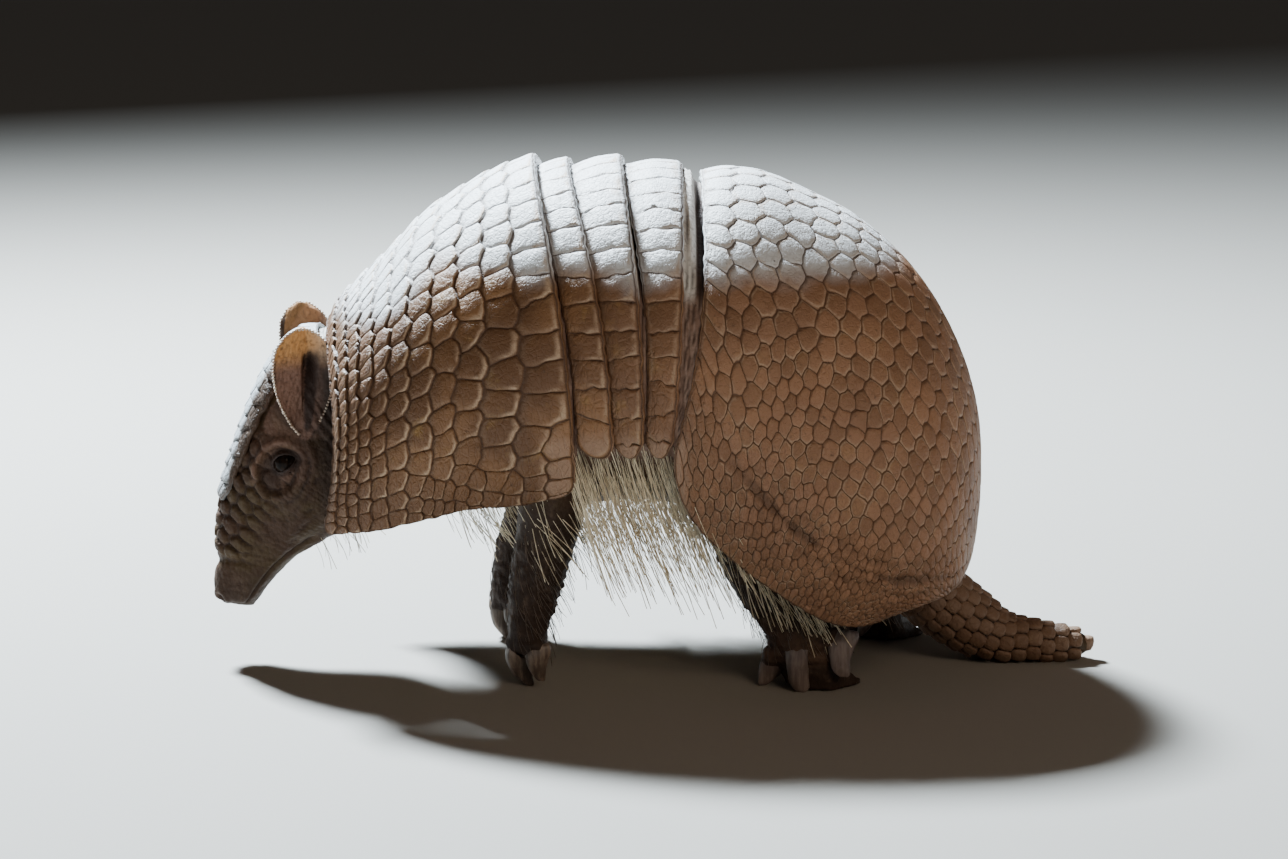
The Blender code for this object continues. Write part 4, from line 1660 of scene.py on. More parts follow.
@dataclass
class Flesh:
    """All the skin in one piece, with its folds, lids and ears."""

    head: HeadForm = field(default_factory=HeadForm)
    nodes: tuple[str, ...] = ("trunk", "neck", "head", "tail", "ear_left", "ear_right",
                              "foreleg_left", "foreleg_right", "forefoot_left", "forefoot_right",
                              "hindleg_left", "hindleg_right", "hindfoot_left", "hindfoot_right")
    first_fold_seed: int = 70
    folds: tuple[SkinFold, ...] = (
        SkinFold("fold_front", SCAPULAR_ARCHES[-1], FRONT_BAND_ARCHES[0], 1.2),
        SkinFold("fold_middle", FRONT_BAND_ARCHES[-1], MIDDLE_BAND_ARCHES[0]),
        SkinFold("fold_rear", MIDDLE_BAND_ARCHES[-1], REAR_BAND_ARCHES[0], gully=1.6),
        SkinFold("fold_wedge", REAR_BAND_ARCHES[-1], PELVIC_ARCHES[0], 0.9, 3.4, gully=2.4),
    )

    def build(self, finish: Material) -> Piece:
        """Makes the skin, joined so that it shows no seam.

        Args:
            finish: its material.

        Returns:
            The skin.
        """
        skin = add_object("skin", HeadSkin(self.head).build())
        outward_mesh(skin.data)
        others = [remeshed(merged_copy("trunk_skin", ["trunk"]), 2.8, 4),
                  remeshed(merged_copy("tail_skin", ["tail"], 0.2), 1.1, 3)]
        for word in ("left", "right"):
            for limb, digits, voxel in (("fore", Claws.fore_digits, 0.68), ("hind", Claws.hind_digits, 0.75)):
                leg, foot = f"{limb}leg_{word}", f"{limb}foot_{word}"
                toes = [form for digit in digits for form in toe_forms(foot, f"claw_{foot}_{digit}")]
                copy = merged_copy(leg + "_skin", [leg, foot], 0.4, toes)
                others.append(self._creased(remeshed(copy, voxel, 7)))
        for side in (-1, 1):
            others.append(add_object(f"ear_skin_{side}", EarForm(side, self.head).build()))
        for k, fold in enumerate(self.folds):
            others.append(add_object(fold.name, fold.build(self.first_fold_seed + k)))
        for other in others:
            LOG.info("skin part %s: %d faces", other.name, len(other.data.polygons))
            join = skin.modifiers.new("join_" + other.name, "BOOLEAN")
            join.operation, join.solver, join.object = "UNION", "MANIFOLD", other
        settle(skin)
        for other in others:
            bpy.data.objects.remove(other, do_unlink=True)
        self._soften_joints(skin.data)
        self._mark(skin.data)
        skin.data.materials.clear()
        skin.data.materials.append(finish)
        return skin

    def _creased(self, limb: Piece) -> Piece:
        """Gives a leg its scaly lumps and the wrinkles that run round it.

        Args:
            limb: the leg's skin.

        Returns:
            The same piece.
        """
        points = coordinates(limb.data)
        back = rise(13.0, 1.0, points[:, 0].max() - points[:, 0]) * rise(20.0, 14.0, points[:, 2])
        middle = points[points[:, 2] < 12.0].mean(0)
        points[:, 0] -= 3.2 * back
        points[:, 2] *= 1 - 0.62 * back
        points[:, 1] += (middle[1] - points[:, 1]) * 0.45 * back
        lumps = np.abs(ripple(points * (1.0, 1.0, 1.35), 3.0, 62)) * 0.5 + ripple(points, 1.7, 63) * 0.12
        lumps *= 0.25 + 0.75 * rise(11.0, 19.0, points[:, 2])
        rings = np.sin(points[:, 2] * 2.4 + ripple(points, 7.0, 64) * 2.2) * 0.13
        move_points(limb.data, points - normals_of(limb.data) * (0.45 - lumps - rings)[:, None])
        return limb

    def _soften_joints(self, mesh: Mesh) -> None:
        """Rounds the creases where legs and tail grow out of the trunk.

        Args:
            mesh: the mesh.
        """
        points = coordinates(mesh)
        spots = np.array([(-22.0, -27.0, 46.0), (-25.0, 27.0, 46.0), (27.0, -26.0, 40.0), (36.0, 26.0, 36.0),
                          (66.0, 0.0, 19.0)])
        gap = np.min(np.linalg.norm(points[:, None] - spots[None], axis=2), axis=1)
        weight = rise(15.0, 9.0, gap)[:, None] * 0.5
        spread = neighbour_mean(mesh)
        for _ in range(16):
            points += (spread(points) - points) * weight
        points[:, 2] = np.maximum(points[:, 2], 0.0)
        move_points(mesh, points)

    def _mark(self, mesh: Mesh) -> None:
        """Keeps on the mesh where the skin is rosy, pale, dark or pleated, and where shade and backlight are
        painted on it.

        Args:
            mesh: the mesh.
        """
        points = coordinates(mesh)
        marks = {name: np.zeros(len(points)) for name in ("rosy", "glow", "dusk", "pale", "fold", "lids")}

        def lay(name: str, values: Array) -> None:
            """Raises a mark to the given values where it is lower."""
            marks[name] = np.maximum(marks[name], values)

        for side in (-1, 1):
            eye = self.head.eye(side)
            gap = apart(points, eye.centre)
            lay("rosy", rise(10.0, 4.5, gap) * 0.34)
            span = ((points - eye.centre) @ rowwise(eye.towards_nose, eye.towards_brow)).T
            form = HeadSkin(self.head)
            # Dark lids round the eye opening, partly painted shade.
            lay("lids", rise(2.1, 1.1, form.opening_share(*span)) * (gap < 6.5))
            reach, angle, front = form.socket_ring(*span)
            # Painted shadow in the front part of the eye socket.
            inner = rise(form.socket_radius - 0.3, 3.4, reach) * rise(-0.1, 0.7, np.cos(angle - 0.9))
            lay("lids", inner * 0.72 * (gap < 12.0))
            lay("rosy", bell(reach - form.socket_radius - 0.2, 0.9) * front * (gap < 13) * 0.62)
            ear = EarForm(side, self.head)
            away = points - ear.root
            q, across, inward = away @ ear.lean / ear.length, away @ ear.across, away @ ear.inward
            near = (q > -0.02) & (q < 1.1) & (np.abs(across) < 9) & (np.abs(inward) < 7)
            lay("rosy", near * 0.9)
            # Painted backlight: the ear's upper part glows orange, weaker on the far ear.
            lay("glow", near * rise(0.58, 0.84, q) * (1.0 if side < 0 else 0.45))
            offset = across / ear.half_width(np.clip(q, 0, 1))
            outside = near & (np.abs(offset) > 1.03)
            # Painted shadow on the head beside the ear flap.
            lay("lids", outside * (q < 0.72) * rise(1.9, 1.15, np.abs(offset)) * 0.6)
            marks["rosy"][outside] *= 0.4
            face = near & (inward - ear.hollow(q, offset) < 0.45)
            slot = rise(0.36, 0.14, np.abs(offset - ear.slot)) * rise(0.84, 0.70, q)
            flange = 0.25 * rise(0.30, 0.45, offset) * rise(0.95, 0.70, q)
            # Painted shade in the ear's slot and on the rear part of its cup.
            lay("lids", face * rise(0.0, 0.08, q) * np.maximum(slot * 0.92, flange))
        x, y, z = points.T
        # Dark skin with painted shade under the shell, on belly and legs.
        lay("dusk", rise(50.0, 40.0, z) * hill(x, -62, -50, 58, 66))
        # Dark skin with painted shade between the tail's scales.
        lay("dusk", hill(x, 61, 66, 103, 107) * rise(30.0, 26.0, z) * 0.8)
        toes = hill(z, 5, 8, 14, 19) * rise(22.0, 27.0, np.abs(y)) * rise(20.0, 24.0, x)
        marks["dusk"] *= 1 - 0.72 * toes
        lay("rosy", 0.27 * toes)
        # Dark skin with painted shade under the head.
        lay("dusk", rise(26.0, 18.0, z) * (x < -60) * 0.7)
        # Painted shadow where the neck goes under the shell's front rim.
        lay("dusk", hill(x, -83, -78, -60, -50) * rise(80.0, 74.0, z))
        lay("pale", hill(x, -84, -79, -62, -50) * rise(76.0, 82.0, z))
        for front, rear, wide in ((MIDDLE_BAND_ARCHES, REAR_BAND_ARCHES, 0.38),
                                  (REAR_BAND_ARCHES, PELVIC_ARCHES, 0.52)):
            across = self._share_between(points, front[-1], rear[0])
            high = rise(94.5, 98.5, z) * (across > -0.4) * (across < 1.4)
            gully = rise(wide, wide + 0.14, across) * rise(121.5, 114.0, z)
            # Painted shadow in the gully in front of the next plate.
            lay("lids", high * gully * 0.95)
            # Painted highlight: the high part of the strip turns pale.
            lay("pale", high * (1 - gully) * 0.92)
        lay("fold", hill(x, -32, -28, 14, 20) * rise(52.0, 62.0, z))
        for name, values in (*marks.items(), ("hollow", self._hollows(mesh, points))):
            store(mesh, name, values)

    def _share_between(self, points: Array, front: Row, rear: Row) -> Array:
        """How far each point is from a plate's rear edge, at 0, to the next plate's front edge, at 1.

        Args:
            points: places in millimetres, one a row.
            front: the front plate's last arch.
            rear: the rear plate's first arch.

        Returns:
            One number for each point.
        """
        edges = []
        for crest_x, crest_z, edge_x, edge_z, _, _, bow in (front, rear):
            down = np.clip((crest_z - points[:, 2]) / (crest_z - edge_z), 0, 1)
            edges.append(crest_x + (edge_x - crest_x) * down + bow * np.sin(math.pi * down))
        return (points[:, 0] - edges[0]) / np.maximum(edges[1] - edges[0], 0.5)

    def _hollows(self, mesh: Mesh, points: Array) -> Array:
        """How deep each point lies in a crease, from 0 on open skin to 1, for painted shade in creases.

        Args:
            mesh: the mesh.
            points: places in millimetres, one a row.

        Returns:
            One number for each point.
        """
        spread, smooth = neighbour_mean(mesh), points
        for _ in range(4):
            smooth = (smooth + spread(smooth)) / 2
        return rise(0.015, 0.17, np.einsum("ij,ij->i", smooth - points, normals_of(mesh)))


@dataclass(frozen=True)
class Hide(Finish):
    """Bare hide: dark leathery brown, partly painted shade; rosy round eyes and ears; dark with painted shade
    on belly and legs; painted backlight on the ear tips.
    """

    name: str = "leathery_hide"
    roughness: float = 0.55
    depth: float = 0.0003
    gloss: float = 0.15
    # Brown and olive are kept very dark, partly painted shade of the head.
    brown: Colour = (0.054, 0.028, 0.016)
    olive: Colour = (0.062, 0.038, 0.018)
    rosy: Colour = (0.255, 0.142, 0.106)
    # Painted backlight shining through the ear tips.
    glow: Colour = (0.60, 0.30, 0.10)
    # Dark skin, partly painted shade under the shell and the head.
    dusk: Colour = (0.040, 0.025, 0.018)
    mottle: Colour = (0.105, 0.070, 0.052)
    # Pale skin of the neck top, and a painted highlight on the high part of the band strips.
    pale: Colour = (0.72, 0.69, 0.65)
    fold: Colour = (0.205, 0.125, 0.092)
    fibre: Colour = (0.30, 0.205, 0.160)
    # Dark lids, and painted shade in eye sockets, ear slots, beside ear flaps and in the gullies between
    # bands.
    lids: Colour = (0.040, 0.026, 0.022)
    # Painted shade in creases, and the dark of granule edges and pores.
    crease: Colour = (0.028, 0.015, 0.011)

    def build(self) -> Material:
        """Makes the material.

        Returns:
            The material.
        """
        made, g, place = self.start()
        clouds = g.noise(place, 0.008, 4.0)
        patches = g.noise(place, 0.0042, 5.0, Roughness=0.6)
        grain = g.noise(place, 0.0011, 4.0, Roughness=0.65)
        granules = g.cells(g.stretch(place, (1.0, 1.0, 0.75)), 0.0010)
        body = g.mix(g.rise(clouds, 0.4, 0.62), self.brown, self.olive)
        body = g.mix(g.read("rosy") * 0.85, body, self.rosy)
        fibres = g.noise(g.stretch(place, (1.0, 0.12, 0.12)), 0.0007, 3.0)
        pleats = g.mix(g.rise(fibres, 0.46, 0.64, 0.75), self.fold, self.fibre)
        body = g.mix(g.read("fold"), body, pleats)
        # Dark skin with painted shade on belly, legs, chin, neck and tail.
        dusk = g.mix(g.rise(patches, 0.50, 0.68, 0.8), self.dusk, self.mottle)
        body = g.mix(g.read("dusk"), body, dusk)
        body = g.mix(g.read("pale"), body, self.pale)
        # Painted backlight on the ear tips.
        body = g.mix(g.read("glow") * 0.8, body, self.glow)
        # Dark lids and painted shade.
        body = g.mix(g.read("lids"), body, self.lids)
        # Painted shade in creases.
        body = g.mix(g.read("hollow") * 0.8, body, self.crease)
        body = g.mix(g.rise(granules, 0.55, 0.85, 0.28), body, self.crease)
        body = g.mix(g.rise(grain, 0.55, 0.75, 0.45), body, self.crease)
        relief = g.rise(granules, 0.80, 0.10, 0.32) + grain * 0.8
        rough = grain * 0.3 + (self.roughness - 0.1)
        self.end(g, body, rough, relief)
        return made


@dataclass(frozen=True)
class CloudedFinish(Finish):
    """A finish clouded between two colours, drawn out along Z where `grain` is below 1."""

    first: Colour = (0.004, 0.003, 0.003)
    second: Colour = (0.016, 0.009, 0.006)
    size: float = 0.002
    grain: float = 1.0

    def build(self) -> Material:
        """Makes the material.

        Returns:
            The material.
        """
        made, g, place = self.start()
        cloud = g.noise(g.stretch(place, (1.0, 1.0, self.grain)), self.size, 2.0)
        colour = g.mix(g.rise(cloud, 0.36, 0.64), self.first, self.second)
        self.end(g, colour, self.roughness, cloud)
        return made


@dataclass
class Eyeballs:
    """The two eyes."""

    radius: float = 3.2
    rows: int = 31
    columns: int = 48

    def build(self, head: HeadForm, finish: Material) -> Made:
        """Makes both eyeballs, each with a slightly bulging front.

        Args:
            head: the head's form.
            finish: their material.

        Returns:
            Each eyeball with its node.
        """
        down, turn = pairs(np.linspace(0, math.pi, self.rows + 2)[1:-1],
                           np.linspace(0, 2 * math.pi, self.columns, False))
        ways = rowwise(np.sin(down) * np.cos(turn), np.sin(down) * np.sin(turn), np.cos(down))
        ways = np.concatenate((ways, ((0, 0, 1), (0, 0, -1))))
        ring, top = np.arange(self.columns), self.rows * self.columns
        after, last = np.roll(ring, -1), top - self.columns
        caps = [rowwise(ring, after, np.full_like(ring, top)),
                rowwise(after + last, ring + last, np.full_like(ring, top + 1))]
        sides = grid_faces(self.rows, self.columns, True)[:, ::-1]
        made = []
        for side, word in ((-1, "left"), (1, "right")):
            eye = head.eye(side)
            bulge = 1 + 0.05 * np.maximum(ways @ eye.out, 0) ** 6
            points = eye.centre + ways * (self.radius * bulge)[:, None]
            mesh = make_mesh(f"eyeball_{word}", points, [sides, *caps])
            made.append((add_object(f"eyeball_{word}", mesh, finish), [f"eye_{word}"]))
        return made


@dataclass
class Carapace:
    """The horny shell: two shields and the three bands that move between them."""

    shield_thick: float = 2.2
    band_thick: float = 1.8
    corner_radius: float = 3.2
    band_scute: float = 6.6
    first_band_seed: int = 20
    crease_path: Rows = ((17.0, 60.0), (32.0, 44.0), (52.0, 31.0), (75.0, 28.5))

    def _scapular_size(self, s: float, t: float) -> float:
        """Size of a scute on the front shield: small in front and below, large on the back.

        Args:
            s: millimetres along.
            t: millimetres across.

        Returns:
            The width in millimetres.
        """
        front = 3.3 + 2.9 * rise(2.0, 26.0, s)
        across = abs(t) / 97.0
        top = 1.25 - 0.25 * rise(0.12, 0.34, across)
        low = 1.0 - 0.42 * rise(0.74, 0.95, across) * rise(12, 30, s)
        return front * top * low

    def _pelvic_size(self, s: float, t: float) -> float:
        """Size of a scute on the rear shield: slabs in front and on top, granules behind.

        Args:
            s: millimetres along.
            t: millimetres across.

        Returns:
            The width in millimetres.
        """
        along = 5.6 - 1.1 * rise(12.0, 42.0, s)
        across = abs(t) / 101.0
        top = 1.3 - 0.55 * rise(0.24, 0.50, across)
        low = 1.0 - 0.20 * rise(0.66, 0.92, across)
        return along * top * low

    def _hip_crease(self, points: Array) -> Array:
        """Depth of the crease that runs down and back over the hip, at points of the shield.

        Args:
            points: places in millimetres, one a row.

        Returns:
            One depth in millimetres for each point.
        """
        path = through(self.crease_path, np.linspace(0, 3, 90))
        wander = ripple(points, 9.0, 13) * 0.9
        gaps = np.linalg.norm(points[:, None, (0, 2)] - path[None], axis=2)
        gap = gaps.min(axis=1) + wander
        ends = np.sin(math.pi * (0.06 + 0.88 * gaps.argmin(axis=1) / 89)) ** 0.6
        side = rise(24.0, 34.0, np.abs(points[:, 1]))
        fold = 1.15 * bell(gap, 1.1) + 0.5 * bell(gap - 3.4, 1.0)
        return fold * side * ends

    def round_corners(self, length: float, half: float, radius: float) -> Field:
        """A bend of the flat plate that rounds its four corners.

        Args:
            length: the plate's length.
            half: half its width.
            radius: of the corners.

        Returns:
            The bend.
        """
        def bend(flat: Array) -> Array:
            """Moves points near a corner onto the rounded plate.

            Args:
                flat: places on the unrolled surface.

            Returns:
                The moved places.
            """
            edges = rowwise(np.minimum(flat[:, 0], length - flat[:, 0]), half - np.abs(flat[:, 1]))
            over = np.clip(radius - edges, 0, radius)
            shrink = over.max(1) / np.maximum(np.hypot(*over.T), 1e-6)
            x, y = (radius - over * shrink[:, None]).T
            moved = rowwise(np.where(flat[:, 0] < length / 2, x, length - x),
                            np.sign(flat[:, 1]) * (half - y))
            return np.where((over > 0).all(axis=1, keepdims=True), moved, flat)
        return bend

    def _shield(self, name: str, rows: Rows, size: Callable[[float, float], float], seed: int,
                lean: Field, step: float, jitter: float,
                dent: Field = nowhere, rounds: int = 0) -> ScutePlate:
        """A shield paved with staggered rows of scutes.

        Args:
            name: its name.
            rows: its arches.
            size: the width of a scute at a place.
            seed: fixes the layout.
            lean: how steeply scutes rise to the rear.
            step: millimetres between points of an edge.
            jitter: how far scutes stray, as a share.
            dent: the depth of creases.
            rounds: how often the layout is evened out.

        Returns:
            The plate.
        """
        sheet = ArchSheet(rows)
        layout = ScuteLayout(sheet.length, sheet.half, size, seed, jitter=jitter)
        corners = self.round_corners(sheet.length, sheet.half, self.corner_radius)
        return ScutePlate(name, sheet, layout, self.shield_thick, step=step, lean=lean, shape=corners,
                          dent=dent, rounds=rounds)

    def _band(self, name: str, rows: Rows, seed: int) -> ScutePlate:
        """A band: one row of scutes from side to side, with a rounded lobe at each end.

        Args:
            name: its name.
            rows: its arches.
            seed: fixes the layout.

        Returns:
            The plate.
        """
        sheet = ArchSheet(rows)
        layout = ScuteLayout(sheet.length, sheet.half, lambda s, t: self.band_scute, seed,
                             single_row=True, jitter=0.12)
        lobes = self.round_corners(sheet.length, sheet.half, sheet.length / 2 - 0.2)
        return ScutePlate(name, sheet, layout, self.band_thick, step=0.7, rings=(0.10, 0.26, 0.5, 0.78),
                          lean=lambda flat: np.full(len(flat), 0.5), shape=lobes, waviness=0.5)

    def build(self, horn: Material, relief: ScuteRelief) -> Made:
        """Makes the five plates.

        Args:
            horn: the finish of the scutes.
            relief: raises the scutes.

        Returns:
            Each plate with the nodes that it stands for.
        """
        front = self._shield("scapular_scutes", SCAPULAR_ARCHES, self._scapular_size, 11,
                             lambda flat: 0.75 - 0.3 * rise(6, 30, flat[:, 0]), 0.9, 0.17)
        rear = self._shield("pelvic_scutes", PELVIC_ARCHES, self._pelvic_size, 12,
                            lambda flat: 0.25 - 0.2 * rise(4, 20, flat[:, 0]), 1.2, 0.24, self._hip_crease, 4)
        made = [(front.build(horn, relief), ["scapular_shield"]),
                (rear.build(horn, relief), ["pelvic_shield"])]
        for seed, (word, rows) in enumerate((("front", FRONT_BAND_ARCHES), ("middle", MIDDLE_BAND_ARCHES),
                                             ("rear", REAR_BAND_ARCHES))):
            band = self._band(f"band_{word}_scutes", rows, self.first_band_seed + seed)
            made.append((band.build(horn, relief), [f"band_{word}"]))
        return made


# --- stage ---
@dataclass(frozen=True)
class Lamp:
    """A square soft light: its place, the length of its side, its power and its colour."""

    name: str
    place: Triple
    side: float
    watts: float
    colour: Colour


@dataclass
class Stage:
    """The pale floor, the soft lights and the camera."""

    aim: Triple = (-0.00257, 0.0, 0.05784)
    elevation: float = 10.0
    distance: float = 0.8766
    lens: float = 100.0
    sensor_width: float = 36.0
    nearest_seen: float = 0.01
    floor_side: float = 80.0
    floor_colour: Colour = (0.30, 0.28, 0.255)
    floor_roughness: float = 0.9
    air_colour: Colour = (0.47, 0.45, 0.43)
    air_strength: float = 0.12
    lamps: tuple[Lamp, ...] = (Lamp("key_light", (-0.36, 0.50, 0.78), 0.14, 96.0, (0.77, 0.90, 1.0)),
                               Lamp("fill_light", (0.50, -0.90, 0.60), 0.42, 3.3, (1.0, 0.80, 0.60)))

    def _floor(self) -> None:
        """A wide plain floor."""
        points = np.array([[-1, -1, 0], [1, -1, 0], [1, 1, 0], [-1, 1, 0]]) * (self.floor_side / 2 / MM)
        floor = add_object("studio_floor", make_mesh("studio_floor", points, [np.array([[0, 1, 2, 3]])]))
        paint = bpy.data.materials.new("pale_floor")
        paint.use_nodes = True
        shader = paint.node_tree.nodes["Principled BSDF"]
        shader.inputs["Base Color"].default_value = (*self.floor_colour, 1)
        shader.inputs["Roughness"].default_value = self.floor_roughness
        floor.data.materials.append(paint)

    def _hang(self, lamp: Lamp) -> None:
        """Hangs a light and aims it at the model.

        Args:
            lamp: the light.
        """
        data = bpy.data.lights.new(lamp.name, "AREA")
        data.size, data.energy, data.color = lamp.side, lamp.watts, lamp.colour
        made = bpy.data.objects.new(lamp.name, data)
        made.location = lamp.place
        made.rotation_euler = (Vector(self.aim) - made.location).to_track_quat("-Z", "Y").to_euler()
        bpy.context.scene.collection.objects.link(made)

    def build(self) -> None:
        """Makes the floor, lights, background and camera."""
        self._floor()
        for lamp in self.lamps:
            self._hang(lamp)
        world = bpy.data.worlds.new("studio_air")
        world.use_nodes = True
        air = world.node_tree.nodes["Background"]
        air.inputs[0].default_value = (*self.air_colour, 1)
        air.inputs[1].default_value = self.air_strength
        bpy.context.scene.world = world
        camera = bpy.data.objects.new("camera", bpy.data.cameras.new("camera"))
        camera.data.lens, camera.data.sensor_width = self.lens, self.sensor_width
        camera.data.clip_start = self.nearest_seen
        tilt = math.radians(self.elevation)
        aim = Vector(self.aim)
        camera.location = aim + Vector((0, -math.cos(tilt), math.sin(tilt))) * self.distance
        camera.rotation_euler = (aim - camera.location).to_track_quat("-Z", "Y").to_euler()
        bpy.context.scene.collection.objects.link(camera)
        bpy.context.scene.camera = camera


# --- small things that repeat ---
class PlacedScales(PieceTree):
    """The node tree that sets one rounded scale on every given point."""

    name = "placed_scales"
    sizes = {"rear_lift": 0.35, "flatness": 0.5, "squareness": 3.4}

    def wire(self, g: Graph, given: dict[str, Num]) -> Num:
        """Lays the nodes that round a cube into a scale and set it on the points.

        Args:
            g: the tree's graph.
            given: the tree's inputs by name.

        Returns:
            The shaped geometry.
        """
        block = g.out("GeometryNodeMeshCube", {"Vertices X": 4, "Vertices Y": 4, "Vertices Z": 4})
        place = g.out("GeometryNodeInputPosition")
        powers = [g.math("ABSOLUTE", axis) ** given["squareness"] for axis in g.axes(place)]
        shrink = 0.5 / (powers[0] + powers[1] + powers[2]) ** (1.0 / given["squareness"])
        x, y, z = g.axes(g.scaled(place, shrink))
        lift = (x + 0.5) * given["rear_lift"]
        height = z * given["flatness"] * 2.0 + lift * g.rise(z, -0.2, 0.3)
        shaped = g.out("ShaderNodeCombineXYZ", {0: x, 1: y, 2: height})
        scale = g.out("GeometryNodeSetPosition", {"Geometry": block, "Position": shaped})
        out, along, size = (g.kept(name, "FLOAT_VECTOR") for name in ("out", "along", "size"))
        turn = g.out("FunctionNodeAxesToRotation", {0: out, 1: along}, primary_axis="Z", secondary_axis="X")
        return g.out("GeometryNodeInstanceOnPoints", {"Points": given["Geometry"], "Instance": scale,
                                                      "Rotation": turn, "Scale": size})

    def place(self, name: str, spots: "Spots", finish: Material, **sizes: float) -> Piece:
        """Sets the scales.

        Args:
            name: the piece's name.
            spots: where each goes, its directions and its size.
            finish: the piece's material.
            **sizes: the tree's named sizes, where they differ from its own.

        Returns:
            One piece with all of them.
        """
        mesh = bpy.data.meshes.new(name)
        mesh.from_pydata([tuple(p) for p in spots.places * MM], [], [])
        count = len(spots.places)
        for key, values in {"out": spots.out, "along": spots.along, "size": spots.sizes * MM,
                            "tone": np.random.default_rng(count).uniform(size=count),
                            "inside": np.full(count, 0.7)}.items():
            store(mesh, key, values)
        piece = add_object(name, mesh)
        self.apply(piece, finish, **sizes)
        points = coordinates(piece.data)
        points[:, 2] = np.maximum(points[:, 2], 0.0)
        move_points(piece.data, points)
        lay_bake_patches(piece, spots.places)
        return piece


@dataclass
class Spots:
    """Where small things go: places, outward directions, lengthwise directions and sizes."""

    places: Array
    out: Array
    along: Array
    sizes: Array


def lay_bake_patches(piece: Piece, roots: Array) -> None:
    """Gives a piece of many equal small things its bake map.

    Each thing becomes a small patch at its root's place on the skin unrolled round the
    animal's long axis.

    Args:
        piece: the plain mesh, with its things one after the other.
        roots: the root of each, in millimetres.
    """
    mesh = piece.data
    points = coordinates(mesh)
    each = len(points) // len(roots)
    angle = np.arctan2(roots[:, 1], roots[:, 2] - 55.0)
    flat = rowwise(angle * 40.0, roots[:, 0])
    low, high = flat.min(0), flat.max(0)
    spread = 0.01 + 0.97 * (flat - low) / np.maximum(high - low, 1.0)
    things = points[:each * len(roots)].reshape(len(roots), each, 3)
    local = things - things.mean(1, keepdims=True)
    reach = np.maximum(np.abs(local).max(axis=(1, 2), keepdims=True), 1e-6)
    patch = rowwise(local[..., 0] + 0.35 * local[..., 1], local[..., 2] + 0.35 * local[..., 1]) / reach
    uv = (spread[:, None] + patch * 0.0011).reshape(-1, 2)
    corners = taken(mesh.loops, "vertex_index", 1, np.int32).ravel()
    for old in list(mesh.uv_layers):
        mesh.uv_layers.remove(old)
    layer = mesh.uv_layers.new(name="OFBake")
    layer.data.foreach_set("uv", uv[corners].astype(np.float32).reshape(-1))


class HairTree(PieceTree):
    """The node tree that grows single hairs on an emitter, each a thin bent spike."""

    name = "hairs"
    sizes = {"hairs_per_area": 1.0e6, "length": 0.02, "length_spread": 0.45, "slimness": 0.006,
             "bend": 0.15, "straying": 0.25, "seed": 0}
    ring = 18

    def wire(self, g: Graph, given: dict[str, Num]) -> Num:
        """Lays the nodes that scatter the hairs, turn them and size them.

        Args:
            g: the tree's graph.
            given: the tree's inputs by name.

        Returns:
            The shaped geometry.
        """
        seed = given["seed"]
        density = g.kept("grow") * given["hairs_per_area"]
        roots = g.out("GeometryNodeDistributePointsOnFaces", {"Mesh": given["Geometry"], "Density": density,
                                                              "Seed": seed})
        stray = g.out("FunctionNodeRandomValue", {0: (-1, -1, -1), 1: (1, 1, 1), "Seed": seed},
                      data_type="FLOAT_VECTOR")
        stray = g.scaled(stray, given["straying"])
        way, droop = (g.out("ShaderNodeVectorMath", {0: part, 1: stray}, operation="ADD") for part in (
            g.kept("lie", "FLOAT_VECTOR"), g.out("ShaderNodeCombineXYZ", {0: 0.5, 2: -1.0})))
        turn = g.out("FunctionNodeAxesToRotation", {0: way, 1: droop}, primary_axis="Z", secondary_axis="X")
        size = g.out("FunctionNodeRandomValue", {2: 1.0 - given["length_spread"], 3: 1.0, "Seed": seed + 7},
                     1, data_type="FLOAT")
        return g.out("GeometryNodeInstanceOnPoints", {"Points": roots, "Instance": self._spike(g, given),
                                                      "Rotation": turn, "Scale": size * given["length"]})

    def _spike(self, g: Graph, given: dict[str, Num]) -> Num:
        """One hair a metre long along Z, bent towards X and tapering to its tip.

        Args:
            g: the tree's graph.
            given: the tree's inputs by name.

        Returns:
            The hair's shape.
        """
        line = g.out("GeometryNodeCurvePrimitiveLine", {"End": (0, 0, 1)})
        line = g.out("GeometryNodeResampleCurve", {"Curve": line, "Count": 6})
        share = g.out("GeometryNodeSplineParameter")
        offset = g.out("ShaderNodeCombineXYZ", {0: share ** 2.0 * given["bend"]})
        line = g.out("GeometryNodeSetPosition", {"Geometry": line, "Offset": offset})
        thick = 1.0 - share ** 2.5 * 0.93
        line = g.out("GeometryNodeSetCurveRadius", {"Curve": line, "Radius": thick})
        ring = g.out("GeometryNodeCurvePrimitiveCircle", {"Resolution": 3, "Radius": given["slimness"]})
        return g.out("GeometryNodeCurveToMesh", {"Curve": line, "Profile Curve": ring, "Fill Caps": True})

    def grow(self, name: str, emitter: Mesh, finish: Material, seed: int, **sizes: float) -> Piece:
        """Grows the hairs of one part of the coat.

        Args:
            name: the piece's name.
            emitter: the skin they grow on, with `grow` and `lie` kept on it.
            finish: the hairs' material.
            seed: fixes their places.
            **sizes: the tree's named sizes.

        Returns:
            The piece.
        """
        piece = self.apply(add_object(name, emitter), finish, seed=seed, **sizes)
        lay_bake_patches(piece, coordinates(piece.data)[::self.ring])
        return piece


